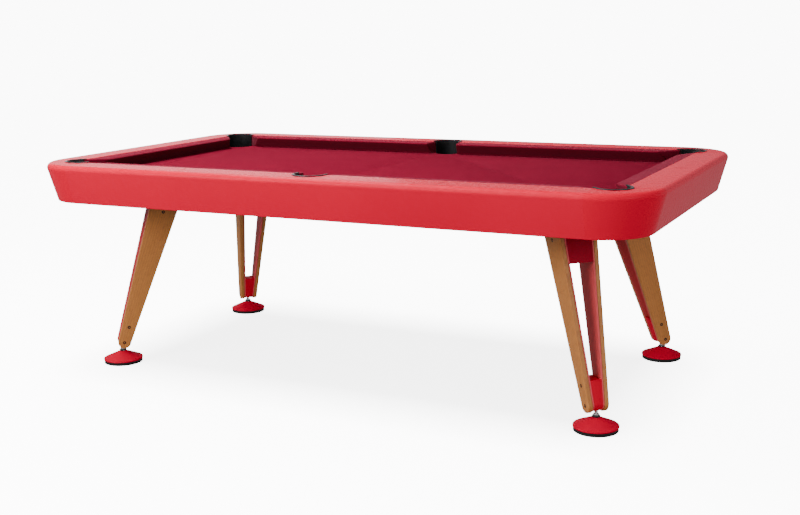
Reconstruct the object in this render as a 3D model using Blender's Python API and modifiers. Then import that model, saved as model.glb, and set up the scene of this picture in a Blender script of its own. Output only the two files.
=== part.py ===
"""Six-pocket pool table: folded-metal rail body with rounded corners, slate bed, cloth cushions, drop pockets
and four leaning legs of two wooden boards on a folded steel core, each on a levelling foot.

Run with:  blender --background --python part.py
Metres, +Z up. The origin is on the floor under the middle of the table. +X runs along the table's length.
"""
import math

import bmesh
import bpy
from mathutils import Matrix

# ---- playing field ----------------------------------------------------------------------------------
FIELD_LENGTH = 1.98           # cushion nose to cushion nose
FIELD_WIDTH = 0.99
BED_HEIGHT = 0.746            # top of the bed cloth above the floor

# ---- rail body --------------------------------------------------------------------------------------
RAIL_RISE = 0.048             # top of the metal rail above the bed
RAIL_WIDTH = 0.174            # cushion nose to the outermost point of the side
RAIL_EDGE_RADIUS = 0.017      # rounded top edge
SIDE_LEAN = math.radians(15)  # the side slopes in towards the bottom
SIDE_HEIGHT = 0.141           # rail top to the lower edge of the side
SKIRT_LIP = 0.018             # return fold under the side
SHEET_THICKNESS = 0.003       # folded sheet of the body
CORNER_EXTRA = 0.023          # corner arc's centre inside the nose lines; the corners are castings
WEB_DROP = 0.056              # inner fold of the rail, down past the cushions

# ---- bed --------------------------------------------------------------------------------------------
SLATE_THICKNESS = 0.025
SLATE_CLEARANCE = 0.0023      # slate edge to the rail's inner fold
CLOTH_THICKNESS = 0.0010

# ---- cushions ---------------------------------------------------------------------------------------
CUSHION_WIDTH = 0.0567        # nose to back
CUSHION_BACK_DROP = 0.0008    # back edge below the metal rail
NOSE_RISE = 0.0405            # nose above the bed
NOSE_ROUND = 0.0035           # radius of the nose's upper edge
FACE_FOOT_DEPTH = 0.028       # how far the leaning face runs back under the nose
FACE_FOOT_RISE = 0.006        # height of its lower edge above the bed
CORNER_CUT = math.radians(38)   # pocket end of a cushion against its nose line, at a corner
SIDE_CUT = math.radians(76)   # the same angle at a side pocket
CORNER_END_CLEARANCE = 0.0006   # cushion's back corner to the pocket hole's edge
SIDE_END_CLEARANCE = 0.0023

# ---- pockets ----------------------------------------------------------------------------------------
POCKET_HOLE_RADIUS = 0.0535
CORNER_POCKET_OFFSET = 0.028  # pocket centre beyond the field's corner, along X and along Y
SIDE_POCKET_INSET = 0.103     # pocket centre to the outermost point of the side
CUP_WALL = 0.003
CUP_RISE = 0.0010             # underside of the cup above the skirt lip
CORNER_CUP_CHEEK = 0.008      # cup wall past its centre, towards the field
SIDE_CUP_CHEEK = 0.0125
RING_WIDTH = 0.0085
RING_THICKNESS = 0.0028
RING_LAP = 0.0015             # ring past the hole's edge
CORNER_RING_LEG = 0.025       # straight end of the ring, towards the field
SIDE_RING_LEG = 0.020

# ---- subframe ---------------------------------------------------------------------------------------
BEAM_HEIGHT = 0.048
BEAM_WIDTH = 0.040
BEAM_WALL = 0.003
CROSS_BEAM_INSET = 0.069      # end of a cross beam to the outermost point of the side

# ---- legs -------------------------------------------------------------------------------------------
FOOT_FROM_END = 0.211         # foot axis to the table's end
FOOT_FROM_SIDE = 0.232        # foot axis to the table's side
LEG_ANGLE = math.radians(43)  # plan direction of each leg, from the table's length
EDGE_LOW_HEIGHT = 0.106       # the boards' edges are given at two heights
EDGE_HIGH_HEIGHT = 0.656
OUTER_EDGE_LOW = 0.012        # distance from the foot axis towards the corner
OUTER_EDGE_HIGH = -0.143
INNER_EDGE_LOW = -0.0415
INNER_EDGE_HIGH = -0.259
HALF_SPREAD_LOW = 0.0223      # half the core's width across the leg
HALF_SPREAD_HIGH = 0.0557
BOARD_THICKNESS = 0.016
BOARD_TIP = 0.059             # lowest point of the rounded board ends
CORE_TIP = 0.062              # lowest point of the core
CORE_SHEET = 0.005
WELD_SET_BACK = 0.0005        # web and block behind the flanges' edges
TOP_PLATE_THICKNESS = 0.006
TOP_PLATE_MARGIN = 0.012
UPPER_WEB_LENGTH = 0.1469     # top of the core down to the web's lower edge
LOWER_BLOCK_TOP = 0.163
STUD_ROOM = 0.008             # hole above the stud, for winding the foot in

# ---- levelling feet ---------------------------------------------------------------------------------
PAD_INSET = 0.0017            # pad's edge inside the cone's rim
PAD_THICKNESS = 0.0125
CONE_RADIUS = 0.0747
CONE_RIM = 0.0045             # height of the cone's upright rim
CONE_TOP_RADIUS = 0.0145
CONE_TOP = 0.0438
BALL_CENTRE = 0.0340          # height of the swivel ball's centre
BALL_RADIUS = 0.0085
SOCKET_SIDE_CLEARANCE = 0.0013
SOCKET_FLOOR_CLEARANCE = 0.0005
STUD_RADIUS = 0.0060
STUD_TOP = 0.104
COLLAR_RADIUS = 0.0135
COLLAR_HEIGHT = 0.0040
COLLAR_CLEARANCE = 0.0018     # collar above the cone, so that the cone can tilt
FOOT_CHAMFER = 0.0015

# ---- clearances and mesh density --------------------------------------------------------------------
GAP = 0.0003                  # between pieces that touch
RUNNING_GAP = 0.0006          # around pieces that slide or turn
MERGE = 0.0001
FLAT_ANGLE = math.radians(0.05)   # faces closer than this to one plane are joined
CUTTER_MARGIN = 0.010         # cutters reach this far past what they cut
ARC_STEPS = 10                # segments of a quarter turn of the corners and pockets
EDGE_STEPS = 6                # segments of the rounded rail edge
ROUND_STEPS = 24              # segments of a full turn of a small round piece
FOOT_STEPS = 40               # segments of a full turn of the cone and the pad
BALL_STEPS = 6                # segments of the swivel ball's outline
NOSE_STEPS = 2                # segments of the cushion nose's upper edge

# ---- worked out from the above ----------------------------------------------------------------------
HALF_FIELD_X = FIELD_LENGTH / 2
HALF_FIELD_Y = FIELD_WIDTH / 2
HALF_LENGTH = HALF_FIELD_X + RAIL_WIDTH
HALF_WIDTH = HALF_FIELD_Y + RAIL_WIDTH
RAIL_HEIGHT = BED_HEIGHT + RAIL_RISE
SKIRT_BOTTOM = RAIL_HEIGHT - SIDE_HEIGHT
CORNER_RADIUS = RAIL_WIDTH + CORNER_EXTRA
RAIL_INNER = CUSHION_WIDTH + 2 * GAP      # nose line to the metal rail
SLATE_LAP = RAIL_INNER - SLATE_CLEARANCE  # slate beyond the nose lines
SLATE_TOP = BED_HEIGHT - CLOTH_THICKNESS - GAP
SLATE_BOTTOM = SLATE_TOP - SLATE_THICKNESS
BEAM_TOP = SLATE_BOTTOM - GAP
BEAM_BOTTOM = BEAM_TOP - BEAM_HEIGHT
CORE_TOP = BEAM_BOTTOM - GAP
BOARD_TOP = CORE_TOP - TOP_PLATE_THICKNESS - GAP
FOOT_X = HALF_LENGTH - FOOT_FROM_END
FOOT_Y = HALF_WIDTH - FOOT_FROM_SIDE
UPPER_WEB_BOTTOM = CORE_TOP - UPPER_WEB_LENGTH
STUD_HOLE_TOP = STUD_TOP + STUD_ROOM
SIDE_POCKET_OFFSET = RAIL_WIDTH - SIDE_POCKET_INSET
CUP_RADIUS = POCKET_HOLE_RADIUS - 2 * GAP
CUP_BOTTOM = SKIRT_BOTTOM + SHEET_THICKNESS + CUP_RISE
RING_INNER = POCKET_HOLE_RADIUS - RING_LAP
RING_OUTER = RING_INNER + RING_WIDTH
CROSS_BEAM_LENGTH = 2 * (HALF_WIDTH - CROSS_BEAM_INSET)
PAD_RADIUS = CONE_RADIUS - PAD_INSET
SOCKET_RADIUS = BALL_RADIUS + SOCKET_SIDE_CLEARANCE
SOCKET_FLOOR = BALL_CENTRE - BALL_RADIUS - SOCKET_FLOOR_CLEARANCE
COLLAR_BOTTOM = CONE_TOP + COLLAR_CLEARANCE
COLLAR_TOP = COLLAR_BOTTOM + COLLAR_HEIGHT

CORNERS = {"back_right": (1, 1), "back_left": (-1, 1), "front_left": (-1, -1), "front_right": (1, -1)}
SIDES = {"front": -1, "back": 1}


# ---- scene and materials ----------------------------------------------------------------------------
def clear_scene():
    for item in list(bpy.data.objects):
        bpy.data.objects.remove(item, do_unlink=True)


def make_collection(name):
    collection = bpy.data.collections.new(name)
    bpy.context.scene.collection.children.link(collection)
    return collection


def make_material(name, colour, roughness, metallic=0.0):
    material = bpy.data.materials.new(name)
    material.use_nodes = True
    shader = material.node_tree.nodes["Principled BSDF"]
    shader.inputs["Base Color"].default_value = (*colour, 1.0)
    shader.inputs["Roughness"].default_value = roughness
    shader.inputs["Metallic"].default_value = metallic
    material.diffuse_color = (*colour, 1.0)
    return material


clear_scene()
PARTS = make_collection("pool_table")
CUTTERS = make_collection("cutters")
RED_PAINT = make_material("red_paint", (0.62, 0.020, 0.028), 0.38)
CAST_PAINT = make_material("casting_paint", (0.56, 0.012, 0.024), 0.38)
DARK_PAINT = make_material("dark_paint", (0.02, 0.02, 0.022), 0.55)
CLOTH = make_material("wine_cloth", (0.30, 0.018, 0.045), 0.92)
SLATE = make_material("slate", (0.13, 0.13, 0.14), 0.75)
CUP_BLACK = make_material("cup_black", (0.012, 0.012, 0.012), 0.6)
RING_BLACK = make_material("ring_black", (0.01, 0.01, 0.01), 0.12)
WOOD = make_material("oiled_wood", (0.34, 0.16, 0.065), 0.5)
CHROME = make_material("bright_steel", (0.75, 0.75, 0.76), 0.15, 1.0)
RUBBER = make_material("pad_rubber", (0.012, 0.012, 0.012), 0.8)


# ---- helpers ----------------------------------------------------------------------------------------
def add_object(name, mesh, material=None, collection=PARTS):
    item = bpy.data.objects.new(name, mesh)
    collection.objects.link(item)
    if material is not None:
        mesh.materials.clear()
        mesh.materials.append(material)
    return item


def arc(centre, radius, start, end, steps):
    """Points of an arc, angles in radians."""
    points = []
    for step in range(steps + 1):
        angle = start + (end - start) * step / steps
        points.append((centre[0] + radius * math.cos(angle), centre[1] + radius * math.sin(angle)))
    return points


def prism_mesh(name, outlines, low, high):
    """A flat outline (with any holes) in XY as a filled 2D curve, standing from low to high."""
    curve = bpy.data.curves.new(name, "CURVE")
    curve.dimensions = "2D"
    curve.fill_mode = "BOTH"
    curve.extrude = (high - low) / 2
    for outline in outlines:
        spline = curve.splines.new("POLY")
        spline.points.add(len(outline) - 1)
        spline.use_cyclic_u = True
        for point, (x, y) in zip(spline.points, outline):
            point.co = (x, y, 0.0, 1.0)
    holder = bpy.data.objects.new(name + "_curve", curve)
    PARTS.objects.link(holder)
    bpy.context.view_layer.update()
    depsgraph = bpy.context.evaluated_depsgraph_get()
    mesh = bpy.data.meshes.new_from_object(holder.evaluated_get(depsgraph))
    bpy.data.objects.remove(holder, do_unlink=True)
    mesh.name = name
    mesh.transform(Matrix.Translation((0, 0, (low + high) / 2)))
    close_mesh(mesh)
    return mesh


def close_mesh(mesh):
    """Weld touching points, join flat triangles and turn every face outwards."""
    work = bmesh.new()
    work.from_mesh(mesh)
    bmesh.ops.remove_doubles(work, verts=work.verts, dist=MERGE / 10)
    bmesh.ops.dissolve_limit(work, angle_limit=FLAT_ANGLE, verts=work.verts, edges=work.edges)
    bmesh.ops.recalc_face_normals(work, faces=work.faces)
    work.to_mesh(mesh)
    work.free()
    mesh.update()


def box_mesh(name, low, high):
    mesh = bpy.data.meshes.new(name)
    work = bmesh.new()
    bmesh.ops.create_cube(work, size=1.0)
    size = [b - a for a, b in zip(low, high)]
    middle = [(a + b) / 2 for a, b in zip(low, high)]
    stretch = Matrix.Diagonal((*size, 1.0))
    bmesh.ops.transform(work, matrix=Matrix.Translation(middle) @ stretch, verts=work.verts)
    work.to_mesh(mesh)
    work.free()
    return mesh


def profile_mesh(name, points):
    """An open line of points in the XZ plane, at +X, ready for a Screw modifier."""
    mesh = bpy.data.meshes.new(name)
    vertices = [(x, 0.0, z) for x, z in points]
    mesh.from_pydata(vertices, [(i, i + 1) for i in range(len(vertices) - 1)], [])
    return mesh


def add_screw(item, angle, steps):
    screw = item.modifiers.new("turn", "SCREW")
    screw.angle = angle
    screw.steps = steps
    screw.render_steps = steps
    screw.use_merge_vertices = True
    screw.merge_threshold = MERGE / 2
    screw.use_smooth_shade = True


def add_solidify(item, thickness):
    wall = item.modifiers.new("sheet", "SOLIDIFY")
    wall.thickness = thickness
    wall.offset = -1.0
    wall.use_even_offset = True
    wall.use_rim = True


def add_boolean(item, cutter, operation="DIFFERENCE"):
    cut = item.modifiers.new(operation.lower(), "BOOLEAN")
    cut.operation = operation
    cut.solver = "EXACT"
    cut.object = cutter


def add_cutter(name, mesh, matrix=None):
    cutter = add_object(name, mesh, collection=CUTTERS)
    cutter.hide_render = True
    cutter.display_type = "WIRE"
    if matrix is not None:
        cutter.matrix_world = matrix
    return cutter


def shade_rounds(mesh, sharp_degrees=30):
    mesh.shade_smooth()
    mesh.set_sharp_from_angle(angle=math.radians(sharp_degrees))


def turned(name, points, material, place, steps=ROUND_STEPS):
    """A closed turned piece: its outline runs down the outer side and closes on itself or on the axis."""
    item = add_object(name, profile_mesh(name, points), material)
    add_screw(item, 2 * math.pi, steps)
    item.matrix_world = place
    return item


# ---- rail body --------------------------------------------------------------------------------------
def rail_profile():
    """Section of the rail, as (distance from the nose line, height), from the inner fold to the skirt lip."""
    edge_centre = (RAIL_WIDTH - RAIL_EDGE_RADIUS, RAIL_HEIGHT - RAIL_EDGE_RADIUS)
    points = [(RAIL_INNER, RAIL_HEIGHT - WEB_DROP), (RAIL_INNER, RAIL_HEIGHT)]
    points += arc(edge_centre, RAIL_EDGE_RADIUS, math.pi / 2, -SIDE_LEAN, EDGE_STEPS)
    side_start = points[-1]
    side_run = (side_start[1] - SKIRT_BOTTOM) * math.tan(SIDE_LEAN)
    bottom = (side_start[0] - side_run, SKIRT_BOTTOM)
    points += [bottom, (bottom[0] - SKIRT_LIP, SKIRT_BOTTOM)]
    return points


def make_panel(name, half_field, half_run, turn):
    """A straight rail panel along local X with its outside towards local -Y, turned into place."""
    mesh = bpy.data.meshes.new(name)
    work = bmesh.new()
    start = -half_run + GAP
    vertices = [work.verts.new((start, -half_field - n, z)) for n, z in rail_profile()]
    edges = [work.edges.new(pair) for pair in zip(vertices, vertices[1:])]
    grown = bmesh.ops.extrude_edge_only(work, edges=edges)
    moved = [piece for piece in grown["geom"] if isinstance(piece, bmesh.types.BMVert)]
    bmesh.ops.translate(work, vec=(2 * (half_run - GAP), 0, 0), verts=moved)
    bmesh.ops.recalc_face_normals(work, faces=work.faces)
    top_face = max(work.faces, key=lambda face: face.calc_center_median().z)
    if top_face.normal.z < 0:
        bmesh.ops.reverse_faces(work, faces=work.faces)
    work.to_mesh(mesh)
    work.free()
    shade_rounds(mesh)
    panel = add_object(name, mesh, RED_PAINT)
    add_solidify(panel, SHEET_THICKNESS)
    panel.matrix_world = Matrix.Rotation(turn, 4, "Z")
    return panel


def u_outline(radius, leg):
    """A half circle towards +X with straight ends reaching back to x = -leg."""
    points = arc((0, 0), radius, -math.pi / 2, math.pi / 2, 2 * ARC_STEPS)
    return [(-leg, -radius)] + points + [(-leg, radius)]


def pocket_places():
    """Name, centre and outward direction of each pocket."""
    places = {}
    for name, (sx, sy) in CORNERS.items():
        centre = (sx * (HALF_FIELD_X + CORNER_POCKET_OFFSET), sy * (HALF_FIELD_Y + CORNER_POCKET_OFFSET))
        places[name] = (centre, math.atan2(sy, sx))
    for name, side in SIDES.items():
        places[name + "_side"] = ((0.0, side * (HALF_FIELD_Y + SIDE_POCKET_OFFSET)), side * math.pi / 2)
    return places


def place_at(centre, direction, height=0.0):
    return Matrix.Translation((*centre, height)) @ Matrix.Rotation(direction, 4, "Z")


def make_rail_body():
    end_run = HALF_WIDTH - CORNER_RADIUS
    side_run = HALF_LENGTH - CORNER_RADIUS
    panels = {
        "front": make_panel("front_rail", HALF_FIELD_Y, side_run, 0.0),
        "back": make_panel("back_rail", HALF_FIELD_Y, side_run, math.pi),
        "right": make_panel("right_rail", HALF_FIELD_X, end_run, math.pi / 2),
        "left": make_panel("left_rail", HALF_FIELD_X, end_run, -math.pi / 2),
    }
    places = pocket_places()
    low = RAIL_HEIGHT - WEB_DROP - CUTTER_MARGIN
    high = RAIL_HEIGHT + CUTTER_MARGIN

    def pocket_cutter(name, leg):
        mesh = prism_mesh("cut_" + name, [u_outline(POCKET_HOLE_RADIUS, leg)], low, high)
        return add_cutter("cut_" + name, mesh, place_at(*places[name]))

    for side in SIDES:
        add_boolean(panels[side], pocket_cutter(side + "_side", SIDE_POCKET_OFFSET))
    arc_shift = CORNER_RADIUS - RAIL_WIDTH
    profile = [(n + arc_shift, z) for n, z in rail_profile()]
    for name, (sx, sy) in CORNERS.items():
        casting = add_object(name + "_corner", profile_mesh(name + "_corner", profile), CAST_PAINT)
        add_screw(casting, math.pi / 2, ARC_STEPS)
        add_solidify(casting, SHEET_THICKNESS)
        centre = (sx * (HALF_LENGTH - CORNER_RADIUS), sy * (HALF_WIDTH - CORNER_RADIUS))
        quarter = math.atan2(sy, sx) - math.pi / 4
        casting.matrix_world = place_at(centre, quarter)
        cutter = pocket_cutter(name, CORNER_RADIUS)
        side, end = name.split("_")
        for piece in (casting, panels[side], panels[end]):
            add_boolean(piece, cutter)


# ---- bed --------------------------------------------------------------------------------------------
def make_bed():
    """Slate and cloth, both notched round the pocket cups."""
    layers = [
        ("slate_bed", SLATE, SLATE_BOTTOM, SLATE_TOP, POCKET_HOLE_RADIUS),
        ("bed_cloth", CLOTH, BED_HEIGHT - CLOTH_THICKNESS, BED_HEIGHT, POCKET_HOLE_RADIUS + GAP),
    ]
    for name, material, low, high, radius in layers:
        reach_x = HALF_FIELD_X + SLATE_LAP
        reach_y = HALF_FIELD_Y + SLATE_LAP
        mesh = box_mesh(name, (-reach_x, -reach_y, low), (reach_x, reach_y, high))
        layer = add_object(name, mesh, material)
        for pocket, (centre, direction) in pocket_places().items():
            circle = arc((0, 0), radius, 0, 2 * math.pi, 4 * ARC_STEPS)[:-1]
            mesh = prism_mesh("notch", [circle], low - CUTTER_MARGIN, high + CUTTER_MARGIN)
            add_boolean(layer, add_cutter("notch_" + name + "_" + pocket, mesh, place_at(centre, direction)))


# ---- cushions ---------------------------------------------------------------------------------------
def cushion_section():
    """Section of a cushion, as (distance back from the nose, height)."""
    nose = BED_HEIGHT + NOSE_RISE
    foot = BED_HEIGHT + FACE_FOOT_RISE
    base = BED_HEIGHT + GAP
    tip = arc((NOSE_ROUND, nose), NOSE_ROUND, math.pi, math.pi / 2, NOSE_STEPS)
    return tip + [
        (CUSHION_WIDTH, RAIL_HEIGHT - CUSHION_BACK_DROP),
        (CUSHION_WIDTH, base),
        (FACE_FOOT_DEPTH, base),
        (FACE_FOOT_DEPTH, foot),
    ]


def make_cushion(name, half_field, ends, cuts, turn):
    """A cushion along local X, nose towards local +Y, its ends leaning outwards from nose to back."""
    mesh = bpy.data.meshes.new(name)
    work = bmesh.new()
    vertices = [work.verts.new((0.0, -half_field - n, z)) for n, z in cushion_section()]
    face = work.faces.new(vertices)
    grown = bmesh.ops.extrude_face_region(work, geom=[face])
    far = [piece for piece in grown["geom"] if isinstance(piece, bmesh.types.BMVert)]
    for row, end, cut, way in ((vertices, ends[0], cuts[0], -1), (far, ends[1], cuts[1], 1)):
        for vertex in row:
            depth = -half_field - vertex.co.y
            vertex.co.x = end + way * depth / math.tan(cut)
    bmesh.ops.recalc_face_normals(work, faces=work.faces)
    work.to_mesh(mesh)
    work.free()
    cushion = add_object(name, mesh, CLOTH)
    cushion.matrix_world = Matrix.Rotation(turn, 4, "Z")


def nose_end(pocket_offset, cut, clearance):
    """Distance along the rail from a pocket's centre to a cushion's nose end.

    The back corner of the cushion's end keeps the clearance to the edge of the pocket hole."""
    reach = POCKET_HOLE_RADIUS + clearance
    back_end = math.sqrt(reach**2 - (CUSHION_WIDTH - pocket_offset) ** 2)
    return back_end + CUSHION_WIDTH / math.tan(cut)


def make_cushions():
    corner_mouth = nose_end(CORNER_POCKET_OFFSET, CORNER_CUT, CORNER_END_CLEARANCE) - CORNER_POCKET_OFFSET
    side_mouth = nose_end(SIDE_POCKET_OFFSET, SIDE_CUT, SIDE_END_CLEARANCE)
    long_end = HALF_FIELD_X - corner_mouth
    short_end = HALF_FIELD_Y - corner_mouth
    left_half = ((-long_end, -side_mouth), (CORNER_CUT, SIDE_CUT))
    right_half = ((side_mouth, long_end), (SIDE_CUT, CORNER_CUT))
    whole_end = ((-short_end, short_end), (CORNER_CUT, CORNER_CUT))
    make_cushion("front_left_cushion", HALF_FIELD_Y, *left_half, 0.0)
    make_cushion("front_right_cushion", HALF_FIELD_Y, *right_half, 0.0)
    make_cushion("back_right_cushion", HALF_FIELD_Y, *left_half, math.pi)
    make_cushion("back_left_cushion", HALF_FIELD_Y, *right_half, math.pi)
    make_cushion("right_end_cushion", HALF_FIELD_X, *whole_end, math.pi / 2)
    make_cushion("left_end_cushion", HALF_FIELD_X, *whole_end, -math.pi / 2)


# ---- pockets ----------------------------------------------------------------------------------------
def make_pockets():
    for name, (centre, direction) in pocket_places().items():
        place = place_at(centre, direction)
        is_side = name.endswith("_side")
        cheek = SIDE_CUP_CHEEK if is_side else CORNER_CUP_CHEEK
        leg = SIDE_RING_LEG if is_side else CORNER_RING_LEG
        cup_top = RAIL_HEIGHT - GAP
        profile = [(CUP_RADIUS, cup_top), (CUP_RADIUS, CUP_BOTTOM), (0.0, CUP_BOTTOM)]
        cup = add_object(name + "_pocket_cup", profile_mesh(name + "_cup", profile), CUP_BLACK)
        add_screw(cup, 2 * math.pi, 4 * ARC_STEPS)
        add_solidify(cup, CUP_WALL)
        cup.matrix_world = place
        reach = 2 * CUP_RADIUS
        mouth_top = RAIL_HEIGHT + CUTTER_MARGIN
        mouth = box_mesh("mouth", (-reach, -reach, SLATE_TOP - GAP), (-cheek, reach, mouth_top))
        add_boolean(cup, add_cutter("mouth_" + name, mouth, place))
        band = u_outline(RING_OUTER, leg) + list(reversed(u_outline(RING_INNER, leg)))
        low = RAIL_HEIGHT + GAP
        mesh = prism_mesh(name + "_ring", [band], low, low + RING_THICKNESS)
        shade_rounds(mesh)
        ring = add_object(name + "_pocket_ring", mesh, RING_BLACK)
        ring.matrix_world = place


# ---- subframe ---------------------------------------------------------------------------------------
def leg_top_centre():
    """Middle of a leg's top, measured from the table's middle."""
    reach = (edge_at("outer", CORE_TOP) + edge_at("inner", CORE_TOP)) / 2
    return (FOOT_X + reach * math.cos(LEG_ANGLE), FOOT_Y + reach * math.sin(LEG_ANGLE))


def make_beam(name, centre, length, turn):
    """An open-ended rectangular tube along local X."""
    half_width = BEAM_WIDTH / 2
    half_height = BEAM_HEIGHT / 2
    corners = ((1, 1), (-1, 1), (-1, -1), (1, -1))
    outer = [(sx * half_width, sy * half_height) for sx, sy in corners]
    inner = [(sx * (half_width - BEAM_WALL), sy * (half_height - BEAM_WALL)) for sx, sy in corners]
    mesh = prism_mesh(name, [outer, inner], -length / 2, length / 2)
    mesh.transform(Matrix.Rotation(math.pi / 2, 4, "X"))
    mesh.transform(Matrix.Rotation(math.pi / 2, 4, "Z"))
    beam = add_object(name, mesh, DARK_PAINT)
    height = (BEAM_TOP + BEAM_BOTTOM) / 2
    beam.matrix_world = Matrix.Translation((*centre, height)) @ Matrix.Rotation(turn, 4, "Z")


def make_subframe():
    post_x, post_y = leg_top_centre()
    long_length = 2 * (post_x - BEAM_WIDTH / 2 - GAP)
    for name, side in SIDES.items():
        make_beam(name + "_long_beam", (0.0, side * post_y), long_length, 0.0)
    for name, side in (("right", 1), ("left", -1)):
        make_beam(name + "_cross_beam", (side * post_x, 0.0), CROSS_BEAM_LENGTH, math.pi / 2)


# ---- legs -------------------------------------------------------------------------------------------
def edge_at(edge, height):
    """Distance of a board's edge from the foot axis, towards the corner, at a height."""
    low, high = {"outer": (OUTER_EDGE_LOW, OUTER_EDGE_HIGH), "inner": (INNER_EDGE_LOW, INNER_EDGE_HIGH)}[edge]
    share = (height - EDGE_LOW_HEIGHT) / (EDGE_HIGH_HEIGHT - EDGE_LOW_HEIGHT)
    return low + (high - low) * share


def half_spread(height):
    """Half the core's width across the leg at a height."""
    share = (height - EDGE_LOW_HEIGHT) / (EDGE_HIGH_HEIGHT - EDGE_LOW_HEIGHT)
    return HALF_SPREAD_LOW + (HALF_SPREAD_HIGH - HALF_SPREAD_LOW) * share


def blade_outline(tip, top, inset=0.0):
    """Tapered outline between the two edge lines, with a round lower end that touches both."""
    span = EDGE_HIGH_HEIGHT - EDGE_LOW_HEIGHT
    outer_slope = (OUTER_EDGE_HIGH - OUTER_EDGE_LOW) / span
    inner_slope = (INNER_EDGE_HIGH - INNER_EDGE_LOW) / span
    width_at_tip = edge_at("outer", tip) - edge_at("inner", tip) - 2 * inset
    lengths = math.hypot(1, outer_slope) + math.hypot(1, inner_slope)
    radius = width_at_tip / (lengths - (outer_slope - inner_slope))
    centre_height = tip + radius
    centre = (edge_at("outer", centre_height) - inset - radius * math.hypot(1, outer_slope), centre_height)
    start = -math.pi - math.atan(inner_slope)
    end = -math.atan(outer_slope)
    round_end = arc(centre, radius, start, end, 2 * ARC_STEPS)
    return round_end + [(edge_at("outer", top) - inset, top), (edge_at("inner", top) + inset, top)]


def leg_slab(name, outline, near, far):
    """A slab on an (outward, height) outline, its faces at near(height) and far(height) across the leg."""
    mesh = prism_mesh(name, [outline], 0.0, 1.0)
    for vertex in mesh.vertices:
        along, height, layer = vertex.co
        across = far(height) if layer > 0.5 else near(height)
        vertex.co = (along, across, height)
    close_mesh(mesh)
    return mesh


def leg_place(name):
    sx, sy = CORNERS[name]
    direction = math.atan2(sy * math.sin(LEG_ANGLE), sx * math.cos(LEG_ANGLE))
    return place_at((sx * FOOT_X, sy * FOOT_Y), direction)


def make_core(name, place):
    """Folded core: two flanges, an upper web on the outer side, a lower block and a top plate, welded."""
    inner_top = CORE_TOP - TOP_PLATE_THICKNESS / 2
    outline = blade_outline(CORE_TIP, inner_top)
    core = None
    for side in (-1, 1):
        mesh = leg_slab(
            name + "_core",
            outline,
            lambda z: side * half_spread(z),
            lambda z: side * (half_spread(z) - CORE_SHEET),
        )
        if core is None:
            core = add_object(name + "_leg_core", mesh, RED_PAINT)
            core.matrix_world = place
        else:
            add_boolean(core, add_cutter(name + "_flange", mesh, place), "UNION")
    reach = CORE_SHEET / 2

    def inside_left(z):
        return -half_spread(z) + reach

    def inside_right(z):
        return half_spread(z) - reach

    web_top = inner_top - WELD_SET_BACK
    web_low_edge = edge_at("outer", UPPER_WEB_BOTTOM) - WELD_SET_BACK
    web_top_edge = edge_at("outer", web_top) - WELD_SET_BACK
    web = [
        (web_low_edge, UPPER_WEB_BOTTOM),
        (web_top_edge, web_top),
        (web_top_edge - CORE_SHEET, web_top),
        (web_low_edge - CORE_SHEET, UPPER_WEB_BOTTOM),
    ]
    block = blade_outline(CORE_TIP + WELD_SET_BACK, LOWER_BLOCK_TOP, WELD_SET_BACK)
    for label, shape in (("web", web), ("block", block)):
        mesh = leg_slab(name + "_" + label, shape, inside_left, inside_right)
        add_boolean(core, add_cutter(name + "_" + label, mesh, place), "UNION")
    plate_half = half_spread(CORE_TOP) + BOARD_THICKNESS
    low = (edge_at("inner", CORE_TOP) - TOP_PLATE_MARGIN, -plate_half, CORE_TOP - TOP_PLATE_THICKNESS)
    high = (edge_at("outer", CORE_TOP) + TOP_PLATE_MARGIN, plate_half, CORE_TOP)
    plate = add_cutter(name + "_plate", box_mesh(name + "_plate", low, high), place)
    add_boolean(core, plate, "UNION")
    hole = arc((0, 0), STUD_RADIUS + RUNNING_GAP, 0, 2 * math.pi, ROUND_STEPS)[:-1]
    mesh = prism_mesh(name + "_hole", [hole], CORE_TIP - CUTTER_MARGIN, STUD_HOLE_TOP)
    add_boolean(core, add_cutter(name + "_hole", mesh, place))


def make_leg(name):
    place = leg_place(name)
    make_core(name, place)
    outline = blade_outline(BOARD_TIP, BOARD_TOP)
    for label, side in (("a", 1), ("b", -1)):
        mesh = leg_slab(
            f"{name}_board_{label}",
            outline,
            lambda z: side * (half_spread(z) + GAP),
            lambda z: side * (half_spread(z) + GAP + BOARD_THICKNESS),
        )
        shade_rounds(mesh)
        board = add_object(f"{name}_leg_board_{label}", mesh, WOOD)
        board.matrix_world = place


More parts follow.
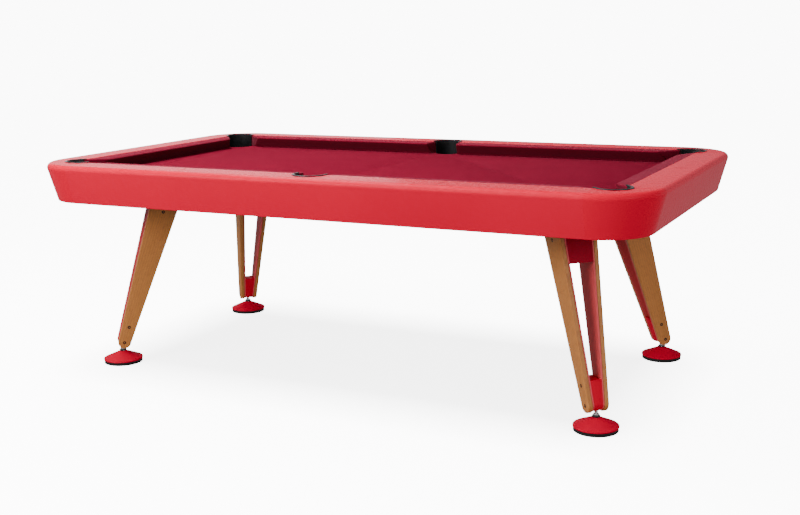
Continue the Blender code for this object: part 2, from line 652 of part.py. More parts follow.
# ---- levelling feet ---------------------------------------------------------------------------------
def make_foot(name):
    """Stud with a swivel ball, collar, cone and pad. The tilt axis passes through the ball's centre."""
    place = leg_place(name)
    lift = Matrix.Translation((0, 0, BALL_CENTRE))
    tilted = place @ lift

    def relative(points):
        return [(r, z - BALL_CENTRE) for r, z in points]

    neck_height = BALL_CENTRE + math.sqrt(BALL_RADIUS**2 - STUD_RADIUS**2)
    neck_angle = math.asin((neck_height - BALL_CENTRE) / BALL_RADIUS)
    ball = arc((0, BALL_CENTRE), BALL_RADIUS, neck_angle, -math.pi / 2, BALL_STEPS)
    ball[-1] = (0.0, BALL_CENTRE - BALL_RADIUS)
    chamfer = FOOT_CHAMFER
    stud = [(0.0, STUD_TOP), (STUD_RADIUS - chamfer, STUD_TOP), (STUD_RADIUS, STUD_TOP - chamfer)] + ball
    turned(name + "_stud", relative(stud), CHROME, tilted)
    bore = STUD_RADIUS + RUNNING_GAP
    collar = [
        (bore, COLLAR_TOP),
        (COLLAR_RADIUS - chamfer, COLLAR_TOP),
        (COLLAR_RADIUS, COLLAR_TOP - chamfer),
        (COLLAR_RADIUS, COLLAR_BOTTOM),
        (bore, COLLAR_BOTTOM),
        (bore, COLLAR_TOP),
    ]
    turned(name + "_collar", relative(collar), RING_BLACK, tilted)
    cone_low = PAD_THICKNESS + GAP
    cone = [
        (SOCKET_RADIUS, CONE_TOP),
        (CONE_TOP_RADIUS, CONE_TOP),
        (CONE_RADIUS, cone_low + CONE_RIM),
        (CONE_RADIUS, cone_low),
        (0.0, cone_low),
        (0.0, SOCKET_FLOOR),
        (SOCKET_RADIUS, SOCKET_FLOOR),
        (SOCKET_RADIUS, CONE_TOP),
    ]
    turned(name + "_foot_cone", relative(cone), RED_PAINT, tilted, FOOT_STEPS)
    pad = [
        (0.0, PAD_THICKNESS),
        (PAD_RADIUS, PAD_THICKNESS),
        (PAD_RADIUS, chamfer),
        (PAD_RADIUS - chamfer, 0.0),
        (0.0, 0.0),
    ]
    turned(name + "_foot_pad", relative(pad), RUBBER, tilted, FOOT_STEPS)


make_rail_body()
make_bed()
make_cushions()
make_pockets()
make_subframe()
for corner_name in CORNERS:
    make_leg(corner_name)
    make_foot(corner_name)
bpy.context.view_layer.update()
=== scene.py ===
# %% [markdown]
# # A six-pocket pool table
#
# The table has a painted metal body with a leaning side and rounded corner castings, wine cloth on the bed
# and the cushions, six drop pockets with polished rings, and four leaning legs. Each leg is a folded red core
# between two wooden boards, on a levelling foot.
#
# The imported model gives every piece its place. This lesson keeps those places and builds the fine surfaces
# over them: smooth folds, round edges, cloth, grain, screws and threads. Lengths are in metres, +X runs along
# the table, +Y across it and +Z up, and the origin is on the floor under the middle.

# %% Load the frame
import math

import bmesh
import bpy
import numpy as np
from mathutils import Matrix, Vector


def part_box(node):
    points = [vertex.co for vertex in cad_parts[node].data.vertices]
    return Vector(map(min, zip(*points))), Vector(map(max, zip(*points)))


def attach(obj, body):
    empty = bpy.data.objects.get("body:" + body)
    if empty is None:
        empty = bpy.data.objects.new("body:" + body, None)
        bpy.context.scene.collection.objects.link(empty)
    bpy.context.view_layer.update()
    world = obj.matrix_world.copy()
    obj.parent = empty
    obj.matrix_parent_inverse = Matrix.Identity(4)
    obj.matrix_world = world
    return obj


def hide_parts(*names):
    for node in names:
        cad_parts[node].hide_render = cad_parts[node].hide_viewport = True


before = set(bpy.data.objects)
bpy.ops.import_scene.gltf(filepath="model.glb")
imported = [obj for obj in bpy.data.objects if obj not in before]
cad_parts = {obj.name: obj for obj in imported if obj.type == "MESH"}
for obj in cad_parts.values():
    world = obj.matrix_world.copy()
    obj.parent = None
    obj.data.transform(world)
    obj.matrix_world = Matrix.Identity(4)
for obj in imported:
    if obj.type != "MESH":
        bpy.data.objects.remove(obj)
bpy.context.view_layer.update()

# %% [markdown]
# ## Sizes read from the frame
#
# Numbers could be typed in again here, but then a change in the design would leave the looks behind. So the
# field, the rails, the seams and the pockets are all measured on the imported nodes.

# %% Field, rails and seams
HALF_FIELD_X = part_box("right_end_cushion")[0].x
HALF_FIELD_Y = -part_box("front_left_cushion")[1].y
HALF_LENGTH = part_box("right_rail")[1].x
HALF_WIDTH = -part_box("front_rail")[0].y
RAIL_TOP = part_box("front_rail")[1].z
SKIRT_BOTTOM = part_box("front_rail")[0].z
BED_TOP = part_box("bed_cloth")[1].z
BED_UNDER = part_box("bed_cloth")[0].z
SEAM_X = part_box("front_rail")[1].x
SEAM_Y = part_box("right_rail")[1].y
RAIL_WIDTH = HALF_WIDTH - HALF_FIELD_Y
SEAM_GAP = 0.0003             # end of each packed panel to the seam
CORNER_CENTRE = (SEAM_X + SEAM_GAP, SEAM_Y + SEAM_GAP)
CORNER_EXTRA = HALF_FIELD_X - CORNER_CENTRE[0]
CUSHION_WIDTH = -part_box("front_left_cushion")[0].y - HALF_FIELD_Y
CUSHION_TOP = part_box("front_left_cushion")[1].z
CORNERS = {"back_right": (1, 1), "back_left": (-1, 1), "front_left": (-1, -1), "front_right": (1, -1)}
SIDES = {"front": -1, "back": 1}
print(f"field {2 * HALF_FIELD_X:.3f} x {2 * HALF_FIELD_Y:.3f}, rail top {RAIL_TOP:.3f}, bed {BED_TOP:.3f}")


# %% Pocket centres, radii and directions
def pocket_facts():
    """For each pocket: centre, cup radius and the outward direction as an angle in plan."""
    facts = {}
    outward = dict(CORNERS)
    for side, sign in SIDES.items():
        outward[side + "_side"] = (0, sign)
    for name, (sx, sy) in outward.items():
        low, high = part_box(name + "_pocket_cup")
        centre = ((low.x + high.x) / 2, (low.y + high.y) / 2)
        facts[name] = (centre, (high.x - low.x) / 2, math.atan2(sy, sx))
    return facts


POCKETS = pocket_facts()
HOLE_CLEARANCE = 0.0006       # cup to the edge of the hole it hangs in
print("pockets:", {name: [round(v, 3) for v in fact[0]] for name, fact in POCKETS.items()})

# %% [markdown]
# ## Shader maths as Python
#
# A material is a graph of nodes, and long graphs are hard to read as a list of links. A socket is wrapped here
# in a small class whose operators add Math nodes, so a finish reads like the formula it is.


# %% Signal: a socket that does arithmetic
class Signal:
    """One output of a node. Arithmetic on it adds a Math node and gives its output."""

    def __init__(self, tree, socket):
        self.tree = tree
        self.socket = socket

    def math(self, operation, *others, swap=False):
        node = self.tree.nodes.new("ShaderNodeMath")
        node.operation = operation
        values = [self, *others]
        if swap:
            values.reverse()
        for socket, value in zip(node.inputs, values):
            if isinstance(value, Signal):
                self.tree.links.new(value.socket, socket)
            else:
                socket.default_value = value
        return Signal(self.tree, node.outputs[0])

    def __add__(self, other):
        return self.math("ADD", other)

    def __radd__(self, other):
        return self.math("ADD", other)

    def __sub__(self, other):
        return self.math("SUBTRACT", other)

    def __rsub__(self, other):
        return self.math("SUBTRACT", other, swap=True)

    def __mul__(self, other):
        return self.math("MULTIPLY", other)

    def __rmul__(self, other):
        return self.math("MULTIPLY", other)


# %% Finish: a Principled material and any node behind it
class Finish:
    """A new Principled material. Constants go straight on the shader, signals are linked to it."""

    def __init__(self, name, constants):
        self.material = bpy.data.materials.new(name)
        self.material.use_nodes = True
        self.tree = self.material.node_tree
        self.shader = self.tree.nodes["Principled BSDF"]
        for socket, value in constants.items():
            self.shader.inputs[socket].default_value = value

    def node(self, kind, settings=None, inputs=None, output=0):
        """Adds a node: its settings first, with a ramp's stops as (place, grey), then its sockets."""
        node = self.tree.nodes.new(kind)
        for key, value in (settings or {}).items():
            if key == "stops":
                ramp = node.color_ramp
                while len(ramp.elements) < len(value):
                    ramp.elements.new(1.0)
                for element, (place, grey) in zip(ramp.elements, value):
                    element.position = place
                    element.color = (grey, grey, grey, 1.0)
            else:
                setattr(node, key, value)
        for key, value in (inputs or {}).items():
            if isinstance(value, Signal):
                self.tree.links.new(value.socket, node.inputs[key])
            else:
                node.inputs[key].default_value = value
        return Signal(self.tree, node.outputs[output])

    def place(self):
        """Object coordinates in metres."""
        return self.node("ShaderNodeTexCoord", output=3)

    def stretched(self, vector, stretch):
        """The coordinates multiplied along the axes."""
        return self.node("ShaderNodeMapping", {"vector_type": "POINT"}, {"Vector": vector, "Scale": stretch})

    def noise(self, vector, scale, detail=2.0, roughness=0.5, distortion=0.0):
        inputs = {
            "Vector": vector,
            "Scale": scale,
            "Detail": detail,
            "Roughness": roughness,
            "Distortion": distortion,
        }
        return self.node("ShaderNodeTexNoise", None, inputs)

    def ramp(self, signal, stops):
        return self.node("ShaderNodeValToRGB", {"stops": stops}, {"Fac": signal})

    def mix(self, factor, first, second):
        """A colour between two colours, each a tuple of three or a signal."""
        inputs = {0: factor, 6: opaque(first), 7: opaque(second)}
        return self.node("ShaderNodeMix", {"data_type": "RGBA"}, inputs, output=2)

    def bump(self, height, depth, strength=1.0):
        """A Bump node's normal: the height signal from 0 to 1 stands for the depth in metres."""
        return self.node("ShaderNodeBump", None, {"Height": height, "Distance": depth, "Strength": strength})

    def connect(self, **signals):
        names = {"colour": "Base Color", "roughness": "Roughness", "normal": "Normal"}
        for key, signal in signals.items():
            self.tree.links.new(signal.socket, self.shader.inputs[names[key]])
        return self.material


def opaque(colour):
    return colour if isinstance(colour, Signal) else (*colour, 1.0)


def shade(colour, factor):
    """The colour made lighter or darker."""
    return tuple(channel * factor for channel in colour)


# %% [markdown]
# ## Paint
#
# The body, the castings, the leg cores and the feet have a satin powder coat. Under a low light it shows a
# fine orange peel, and over a metre it is never quite one colour. A plain red would look like plastic, so two
# scales of noise vary the colour and the gloss, and a third makes the peel.


# %% Powder coat
PEEL_DEPTH = 0.000006


def powder_coat(name, colour, gloss, shine):
    """Paint of one colour. Gloss is the lowest roughness and shine the strength of its reflection."""
    finish = Finish(name, {"Specular IOR Level": shine})
    spot = finish.place()
    cloud = finish.noise(spot, 2.3, 3.0)
    peel = finish.noise(spot, 620.0, 2.0, 0.55)
    handling = finish.noise(spot, 26.0, 5.0, 0.62)
    speck = finish.ramp(finish.noise(spot, 260.0, 1.0), [(0.0, 0.0), (0.69, 0.0), (0.76, 1.0)])
    tone = finish.mix(cloud, shade(colour, 0.90), shade(colour, 1.09))
    tone = finish.mix(speck * 0.10, tone, shade(colour, 0.55))
    rough = gloss + 0.09 * handling + 0.05 * peel
    return finish.connect(colour=tone, roughness=rough, normal=finish.bump(peel, PEEL_DEPTH, 0.55))


BODY_RED = (0.64, 0.002, 0.030)
CASTING_RED = (0.63, 0.001, 0.027)
CORE_RED = (0.56, 0.001, 0.022)
FOOT_RED = (0.50, 0.0, 0.024)
# Painted light: the flanges get a paler, greyer red than the core, for the reflection they show.
FLANGE_LIT_RED = (0.60, 0.06, 0.065)
RAIL_PAINT = powder_coat("rail_paint", BODY_RED, 0.20, 0.040)
CASTING_PAINT = powder_coat("casting_paint", CASTING_RED, 0.20, 0.026)
CORE_PAINT = powder_coat("core_paint", CORE_RED, 0.36, 0.015)
FLANGE_LIT_PAINT = powder_coat("flange_painted_light", FLANGE_LIT_RED, 0.46, 0.42)
# Painted shade: the upper web gets the core's red at 0.52, for the shade in its recess under the rail.
WEB_PAINTED_SHADE = powder_coat("web_painted_shade", shade(CORE_RED, 0.52), 0.40, 0.05)
FOOT_PAINT = powder_coat("foot_paint", FOOT_RED, 0.36, 0.008)
FRAME_PAINT = powder_coat("frame_paint", (0.020, 0.020, 0.022), 0.50, 0.3)

# %% [markdown]
# ## Cloth
#
# Billiard cloth is worsted wool with a short nap. Its threads are under a millimetre, so from a few metres it
# reads as an even felt with soft cloudiness, while close to it the twill shows. Both are made: crossed waves
# for the threads, fine noise for the nap, and broad noise for the way the pile lies.


# %% Billiard cloth
THREAD = 0.0009


def billiard_cloth(name, colour, nose=None, sheen=0.02):
    """Cloth of one colour. With a nose height given, the cloth below it is darkened with painted shade."""
    finish = Finish(name, {"Sheen Weight": sheen, "Sheen Roughness": 0.45, "Specular IOR Level": 0.0})
    finish.shader.inputs["Sheen Tint"].default_value = (1.0, 0.45, 0.55, 1.0)
    spot = finish.place()
    sizes = {"Scale": 0.5 / THREAD, "Distortion": 0.4, "Detail": 1.0, "Detail Scale": 2.0}
    warp = finish.node("ShaderNodeTexWave", {"bands_direction": "X"}, {"Vector": spot, **sizes})
    weft = finish.node("ShaderNodeTexWave", {"bands_direction": "Y"}, {"Vector": spot, **sizes})
    threads = warp * weft
    nap = finish.noise(spot, 900.0, 3.0, 0.7)
    lie = finish.noise(finish.stretched(spot, (1.0, 2.4, 1.0)), 3.1, 4.0, 0.55)
    lint = finish.ramp(finish.noise(spot, 190.0, 2.0), [(0.0, 0.0), (0.70, 0.0), (0.80, 1.0)])
    tone = finish.mix(lie, shade(colour, 0.86), shade(colour, 1.13))
    tone = finish.mix(nap * 0.35, tone, shade(colour, 0.62))
    tone = finish.mix(lint * 0.06, tone, (0.55, 0.40, 0.42))
    if nose is not None:
        # Painted shade: below the nose line the colour is pulled towards 0.40 of itself, for the shaded face
        # under the nose.
        height = finish.node("ShaderNodeSeparateXYZ", {}, {"Vector": spot}, output=2)
        below = finish.ramp((nose - height) * 60.0 + 0.5, [(0.30, 0.0), (0.62, 1.0)])
        tone = finish.mix(0.85 * below, tone, shade(colour, 0.40))
    height = 0.5 * threads + 0.5 * nap
    return finish.connect(colour=tone, roughness=0.86 + 0.10 * nap, normal=finish.bump(height, 0.00035, 0.6))


NOSE_RISE = 0.0405            # nose of the cushion above the bed
CLOTH_WINE = (0.178, 0.005, 0.021)
BED_CLOTH = billiard_cloth("bed_cloth", CLOTH_WINE)
# The cushions' cloth has painted shade on the face below the nose.
CUSHION_CLOTH_NOSE_SHADE = billiard_cloth("cushion_cloth", shade(CLOTH_WINE, 0.94), BED_TOP + NOSE_RISE, sheen=0.09)

# %% [markdown]
# ## Wood
#
# The leg boards are straight-grained oiled hardwood. The grain has to run along each leaning board and not
# along the table, so each board carries its own coordinates in an attribute called grain: length, width and
# thickness in metres, with a jump from board to board so that no two are alike.


# %% Oiled hardwood
def oiled_wood(name, light, dark):
    finish = Finish(name, {"Coat Weight": 0.05, "Coat Roughness": 0.35, "Specular IOR Level": 0.25})
    grain = finish.node("ShaderNodeAttribute", {"attribute_name": "grain"}, output=1)
    figure = finish.noise(finish.stretched(grain, (1.2, 16.0, 16.0)), 2.2, 3.0, 0.5, 0.5)
    growth = finish.node(
        "ShaderNodeTexWave",
        {"bands_direction": "Y", "wave_profile": "SAW"},
        {
            "Vector": finish.stretched(grain, (0.35, 1.0, 0.6)),
            "Scale": 34.0,
            "Distortion": 3.2,
            "Detail": 3.0,
            "Detail Scale": 0.7,
        },
    )
    fibre = finish.noise(finish.stretched(grain, (7.0, 320.0, 320.0)), 2.0, 3.0, 0.6)
    pores = finish.noise(finish.stretched(grain, (16.0, 900.0, 900.0)), 1.6, 1.0, 0.5)
    pore_mask = finish.ramp(pores, [(0.0, 1.0), (0.34, 1.0), (0.43, 0.0)])
    tone = finish.mix(0.30 * growth + 0.55 * figure, light, dark)
    tone = finish.mix(0.34 * fibre, tone, shade(dark, 0.80))
    tone = finish.mix(0.45 * pore_mask, tone, shade(dark, 0.42))
    rough = 0.40 + 0.16 * fibre + 0.12 * pore_mask
    height = 0.7 * fibre - 0.6 * pore_mask + 0.3 * growth
    return finish.connect(colour=tone, roughness=rough, normal=finish.bump(height, 0.00028, 0.6))


LEG_WOOD = oiled_wood("leg_wood", (0.60, 0.238, 0.060), (0.31, 0.098, 0.022))


# %% [markdown]
# ## Rubber, moulded black, gloss trim, steel and slate
#
# The pocket cups are pebbled black moulding, the rings are polished dark trim, the studs are bright steel and
# the pads are rubber. Most share one recipe: a base, a broad noise that varies the colour and the gloss, and a
# fine bump whose depth says how rough the surface is to the finger.


# %% The small finishes
def plain_finish(name, colour, rough, spread, scale, depth, shine=0.5):
    """A one-colour finish with gloss from rough to rough + spread and a fine bump."""
    finish = Finish(name, {"Specular IOR Level": shine})
    spot = finish.place()
    fine = finish.noise(spot, scale, 3.0, 0.55)
    broad = finish.noise(spot, 3.0, 4.0, 0.6)
    tone = finish.mix(broad, shade(colour, 0.82), shade(colour, 1.16))
    gloss = rough + spread * broad
    return finish.connect(colour=tone, roughness=gloss, normal=finish.bump(fine, depth, 0.6))


def pebbled_black(name):
    """Moulded black with a leather-like pebble from Voronoi cells."""
    finish = Finish(name, {"Specular IOR Level": 0.10})
    spot = finish.place()
    cells = finish.node("ShaderNodeTexVoronoi", {"feature": "SMOOTH_F1"}, {"Vector": spot, "Scale": 420.0})
    wear = finish.noise(spot, 38.0, 4.0, 0.6)
    tone = finish.mix(wear, (0.0035, 0.0035, 0.004), (0.011, 0.011, 0.012))
    return finish.connect(colour=tone, roughness=0.42 + 0.22 * wear, normal=finish.bump(cells, 0.0009, 0.8))


def rolled_steel(name, colour, rough):
    """Bright turned steel with fine rings left by the lathe."""
    finish = Finish(name, {"Metallic": 1.0})
    spot = finish.place()
    rings = finish.noise(finish.stretched(spot, (40.0, 40.0, 2600.0)), 1.0, 2.0)
    smear = finish.noise(spot, 60.0, 3.0)
    tone = finish.mix(smear, shade(colour, 0.80), colour)
    normal = finish.bump(rings, 0.00003, 0.5)
    return finish.connect(colour=tone, roughness=rough + 0.14 * smear, normal=normal)


def honed_slate(name):
    """Grey slate: thin layers along the bed plane, a few pale veins."""
    finish = Finish(name, {"Specular IOR Level": 0.35})
    spot = finish.place()
    layers = finish.noise(finish.stretched(spot, (5.0, 7.0, 420.0)), 1.0, 4.0, 0.6)
    clouds = finish.noise(spot, 5.0, 6.0, 0.6, 0.8)
    flow = finish.noise(spot, 2.3, 6.0, 0.5, 2.2)
    vein = finish.ramp(flow, [(0.0, 0.0), (0.495, 0.0), (0.5, 1.0), (0.506, 0.0)])
    tone = finish.mix(0.5 * layers + 0.5 * clouds, (0.075, 0.080, 0.088), (0.17, 0.175, 0.18))
    tone = finish.mix(0.5 * vein, tone, (0.36, 0.36, 0.35))
    return finish.connect(colour=tone, roughness=0.62 + 0.2 * clouds, normal=finish.bump(layers, 0.0004, 0.5))


POCKET_BLACK = pebbled_black("pocket_black")
RING_TRIM = plain_finish("ring_trim", (0.014, 0.014, 0.015), 0.16, 0.12, 300.0, 0.00002, 0.14)
COLLAR_BLACK = plain_finish("collar_black", (0.012, 0.012, 0.013), 0.28, 0.15, 500.0, 0.00004)
PAD_RUBBER = plain_finish("pad_rubber", (0.007, 0.007, 0.007), 0.50, 0.20, 700.0, 0.00012, 0.20)
SCREW_BLACK = plain_finish("screw_black", (0.007, 0.007, 0.008), 0.40, 0.20, 900.0, 0.00003, 0.15)
ZINC_STEEL = rolled_steel("zinc_steel", (0.55, 0.55, 0.54), 0.30)
STUD_STEEL = rolled_steel("stud_steel", (0.78, 0.78, 0.79), 0.12)
SLATE_STONE = honed_slate("slate_stone")
# Painted shade: the marks' darker red stands for the shade in the engraved groove.
GROOVE_SHADE_INK = plain_finish("sight_mark_painted_shade", (0.26, 0.002, 0.010), 0.60, 0.10, 500.0, 0.00003, 0.03)
print("materials:", len(bpy.data.materials))

# %% [markdown]
# ## Surfaces from arrays
#
# Every new piece is a grid of points worked out with numpy, so a shape is a formula over whole arrays. A few
# helpers turn such grids into closed meshes: one for any grid, one for a line turned about an axis, and one
# for a flat section carried along a path.


# %% Grid to mesh
def grid_faces(rows, columns, wrap_rows, wrap_columns):
    """Quads between neighbouring points of a grid, as an array of index rows."""
    row = np.arange(rows if wrap_rows else rows - 1)
    column = np.arange(columns if wrap_columns else columns - 1)
    r, c = np.meshgrid(row, column, indexing="ij")
    r2 = (r + 1) % rows
    c2 = (c + 1) % columns
    quads = np.stack([r * columns + c, r2 * columns + c, r2 * columns + c2, r * columns + c2], axis=-1)
    return quads.reshape(-1, 4)


WELD = 1e-6                   # points nearer than this become one


def mesh_from(name, points, faces, sharp):
    """A mesh object: doubles are merged, faces point outwards, edges over the sharp angle stay hard."""
    mesh = bpy.data.meshes.new(name)
    mesh.from_pydata(points.reshape(-1, 3).tolist(), [], [list(map(int, face)) for face in faces])
    work = bmesh.new()
    work.from_mesh(mesh)
    bmesh.ops.remove_doubles(work, verts=work.verts, dist=WELD)
    bmesh.ops.dissolve_degenerate(work, edges=work.edges, dist=WELD / 10)
    bmesh.ops.recalc_face_normals(work, faces=work.faces)
    work.to_mesh(mesh)
    work.free()
    mesh.shade_smooth()
    mesh.set_sharp_from_angle(angle=math.radians(sharp))
    piece = bpy.data.objects.new(name, mesh)
    bpy.context.scene.collection.objects.link(piece)
    return piece


def surface(name, points, wrap_rows=False, wrap_columns=False, caps=False, sharp=30.0):
    """A mesh from a grid of points. Caps close the first and last row with one face each."""
    rows, columns = points.shape[:2]
    faces = list(grid_faces(rows, columns, wrap_rows, wrap_columns))
    if caps:
        faces.append(np.arange(columns))
        faces.append(np.arange(columns)[::-1] + (rows - 1) * columns)
    return mesh_from(name, points, faces, sharp)


def turned(name, outline, axis, steps=64):
    """A closed outline of (radius, height) turned about a vertical axis: x = r cos a, y = r sin a."""
    outline = np.array(outline)
    angle = np.linspace(0, 2 * np.pi, steps, endpoint=False)[:, None]
    x = axis[0] + outline[None, :, 0] * np.cos(angle)
    y = axis[1] + outline[None, :, 0] * np.sin(angle)
    z = np.broadcast_to(outline[None, :, 1], x.shape)
    closed = not (outline[0, 0] == 0 and outline[-1, 0] == 0)
    return surface(name, np.stack([x, y, z], axis=-1), wrap_rows=True, wrap_columns=closed)


# %% Rounded lines and plate sections
def fillet_path(points, radii, steps=6):
    """The line through the points with each inner corner replaced by an arc of its radius.

    The arc starts and ends at radius * tan(half the turn) from the corner."""
    points = np.array(points, float)
    parts = [points[:1]]
    for before, corner, after, radius in zip(points[:-2], points[1:-1], points[2:], radii):
        into = (corner - before) / np.linalg.norm(corner - before)
        out = (after - corner) / np.linalg.norm(after - corner)
        turn = math.acos(np.clip(into @ out, -1, 1))
        if radius == 0 or turn < 1e-4:
            parts.append(corner[None])
            continue
        reach = radius * math.tan(turn / 2)
        start = corner - into * reach
        side = np.array([-into[1], into[0]]) * np.sign(into[0] * out[1] - into[1] * out[0])
        angle = np.linspace(0, turn, steps + 1)[:, None]
        parts.append(start + radius * (np.sin(angle) * into + (1 - np.cos(angle)) * side))
    parts.append(points[-1:])
    return np.concatenate(parts)


def offset_path(points, distance):
    """The line moved to its right by the distance, with mitred corners."""
    along = np.diff(points, axis=0)
    along /= np.linalg.norm(along, axis=1)[:, None]
    right = np.stack([along[:, 1], -along[:, 0]], axis=1)
    first = np.vstack([right[:1], right])
    second = np.vstack([right, right[-1:]])
    mitre = first + second
    mitre /= np.sum(mitre * first, axis=1)[:, None]
    return points + distance * mitre


def plate_section(points, thickness):
    """The closed section of a sheet whose outer face is the line."""
    return np.vstack([points, offset_path(points, thickness)[::-1]])


# %% Cutting, placing and handing over pieces
def turned_points(points, angle, shift=(0.0, 0.0, 0.0)):
    """The points rotated about Z by the angle and then moved."""
    c, s = math.cos(angle), math.sin(angle)
    x = points[..., 0] * c - points[..., 1] * s + shift[0]
    y = points[..., 0] * s + points[..., 1] * c + shift[1]
    return np.stack([x, y, points[..., 2] + shift[2]], axis=-1)


def applied(piece, sharp=30.0):
    """Applies the piece's modifiers and shades the result again."""
    depsgraph = bpy.context.evaluated_depsgraph_get()
    mesh = bpy.data.meshes.new_from_object(piece.evaluated_get(depsgraph))
    piece.modifiers.clear()
    piece.data = mesh
    mesh.shade_smooth()
    mesh.set_sharp_from_angle(angle=math.radians(sharp))
    return piece


def cut_away(piece, cutter):
    """Takes the cutter's volume out of the piece and removes the cutter."""
    cut = piece.modifiers.new("cut", "BOOLEAN")
    cut.operation = "DIFFERENCE"
    cut.solver = "EXACT"
    cut.object = cutter
    applied(piece)
    bpy.data.objects.remove(cutter, do_unlink=True)
    return piece


def soften(piece, width, segments=2, angle=30.0):
    """Rounds the hard edges of the piece with a Bevel of that width."""
    bevel = piece.modifiers.new("soft_edges", "BEVEL")
    bevel.width = width
    bevel.segments = segments
    bevel.limit_method = "ANGLE"
    bevel.angle_limit = math.radians(angle)
    bevel.harden_normals = False
    return applied(piece, sharp=50.0)


def hand_over(piece, material, body, slot, *nodes):
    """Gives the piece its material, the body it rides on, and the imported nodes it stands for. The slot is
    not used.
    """
    piece.data.materials.clear()
    piece.data.materials.append(material)
    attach(piece, body)
    if nodes:
        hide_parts(*nodes)
    return piece


def arc_points(centre, radius, start, end, steps):
    """Points (x, y) = centre + radius (cos a, sin a) for even angles from start to end."""
    angle = np.linspace(start, end, steps + 1)
    return np.stack([centre[0] + radius * np.cos(angle), centre[1] + radius * np.sin(angle)], axis=1)


# %% [markdown]
# ## Rail body
#
# Each straight rail is one folded sheet: an inner fold behind the cushion, a flat top, a large round edge, the
# leaning side and a lip turned in underneath. The section is drawn once and used four times for the rails
# and, turned through a quarter circle, for the four corner castings.

# %% The rail's section
EDGE_RADIUS = 0.017
SIDE_LEAN = math.radians(15)
LIP_WIDTH = 0.018
WEB_DROP = 0.056
SHEET = 0.0025
FOLD_RADIUS = 0.0035
INNER_FOLD_RADIUS = 0.0026
FOLD_GAP = 0.0006             # rail to the back of the cushion
SKIN = 0.00005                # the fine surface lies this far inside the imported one


def rail_section():
    """Closed section of (distance from the nose line, height).

    The round edge is an arc of EDGE_RADIUS from straight up to SIDE_LEAN below level."""
    inner = CUSHION_WIDTH + FOLD_GAP
    outermost = RAIL_WIDTH - SKIN
    centre = (outermost - EDGE_RADIUS, RAIL_TOP - EDGE_RADIUS)
    edge = arc_points(centre, EDGE_RADIUS, math.pi / 2, -SIDE_LEAN, 22)
    run = (edge[-1, 1] - SKIRT_BOTTOM) * math.tan(SIDE_LEAN)
    bottom = (edge[-1, 0] - run, SKIRT_BOTTOM)
    lip = (bottom[0] - LIP_WIDTH, SKIRT_BOTTOM)
    fold = fillet_path([(inner, RAIL_TOP - WEB_DROP), (inner, RAIL_TOP), edge[0]], [INNER_FOLD_RADIUS])
    side = fillet_path([edge[-1], bottom, lip], [FOLD_RADIUS])
    return plate_section(np.vstack([fold[:-1], edge, side[1:]]), SHEET)


RAIL_SECTION = rail_section()
print("rail section points:", len(RAIL_SECTION))


# %% Pocket openings in the rails
def pocket_cutter(name, leg):
    """A half-round slot that opens towards the field, as a solid through the rail."""
    centre, radius, direction = POCKETS[name]
    radius += HOLE_CLEARANCE
    curve = arc_points((0, 0), radius, -math.pi / 2, math.pi / 2, 48)
    outline = np.vstack([[(-leg, -radius)], curve, [(-leg, radius)]])
    levels = np.array([RAIL_TOP - 2 * WEB_DROP, RAIL_TOP + WEB_DROP])
    points = np.zeros((2, len(outline), 3))
    points[..., :2] = outline[None]
    points[..., 2] = levels[:, None]
    return surface("cutter", turned_points(points, direction, (*centre, 0.0)), wrap_columns=True, caps=True)


LINING_REACH = 0.0012         # faces this near the slot count as inside it
LINING_DEPTH = 0.0020         # the lining starts this far below the rail's top


def line_pocket(piece, name):
    """Gives the black of the pocket to the faces of the piece that lie inside the slot, below its top."""
    centre, radius, direction = POCKETS[name]
    piece.data.materials.append(POCKET_BLACK)
    reach = radius + HOLE_CLEARANCE + LINING_REACH
    inward = Vector((-math.cos(direction), -math.sin(direction), 0.0))
    for face in piece.data.polygons:
        away = face.center - Vector((*centre, face.center.z))
        along = max(0.0, away.dot(inward))
        beside = (away - along * inward).length
        if beside < reach and face.center.z < RAIL_TOP - LINING_DEPTH:
            face.material_index = 1


# %% The four straight rails
def straight_rail(name, half_field, half_run, angle):
    """The section carried along X at y = -(half_field + n), then turned about Z."""
    along = np.array([-half_run, half_run])
    points = np.zeros((2, len(RAIL_SECTION), 3))
    points[..., 0] = along[:, None]
    points[..., 1] = -half_field - RAIL_SECTION[None, :, 0]
    points[..., 2] = RAIL_SECTION[None, :, 1]
    return surface(name, turned_points(points, angle), wrap_columns=True, caps=True)


SEAM_CLOSE = 0.00018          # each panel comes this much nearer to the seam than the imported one
SLOT_LEG = HALF_FIELD_Y / 4   # length of a pocket slot's straight part
for side, angle in (("front", 0.0), ("back", math.pi)):
    rail = straight_rail(side + "_rail_panel", HALF_FIELD_Y, SEAM_X + SEAM_CLOSE, angle)
    cut_away(rail, pocket_cutter(side + "_side", SLOT_LEG))
    hand_over(rail, RAIL_PAINT, "table", "rail_paint", side + "_rail")
    line_pocket(rail, side + "_side")
for side, angle in (("right", math.pi / 2), ("left", -math.pi / 2)):
    rail = straight_rail(side + "_rail_panel", HALF_FIELD_X, SEAM_Y + SEAM_CLOSE, angle)
    hand_over(rail, RAIL_PAINT, "table", "rail_paint", side + "_rail")


# %% The four corner castings
def corner_casting(name):
    """The section turned through 90 degrees about the corner's centre; its pocket slot is cut afterwards."""
    sx, sy = CORNERS[name]
    angle = np.linspace(0, math.pi / 2, 41)[:, None]
    radius = RAIL_SECTION[None, :, 0] + CORNER_EXTRA
    points = np.zeros((len(angle), len(RAIL_SECTION), 3))
    points[..., 0] = radius * np.cos(angle)
    points[..., 1] = radius * np.sin(angle)
    points[..., 2] = RAIL_SECTION[None, :, 1]
    quarter = math.atan2(sy, sx) - math.pi / 4
    placed = turned_points(points, quarter, (sx * CORNER_CENTRE[0], sy * CORNER_CENTRE[1], 0.0))
    return surface(name + "_corner_casting", placed, wrap_columns=True, caps=True)


for name in CORNERS:
    casting = cut_away(corner_casting(name), pocket_cutter(name, SLOT_LEG))
    hand_over(casting, CASTING_PAINT, "table", "casting_paint", name + "_corner")
    line_pocket(casting, name)
print("rails and castings done")
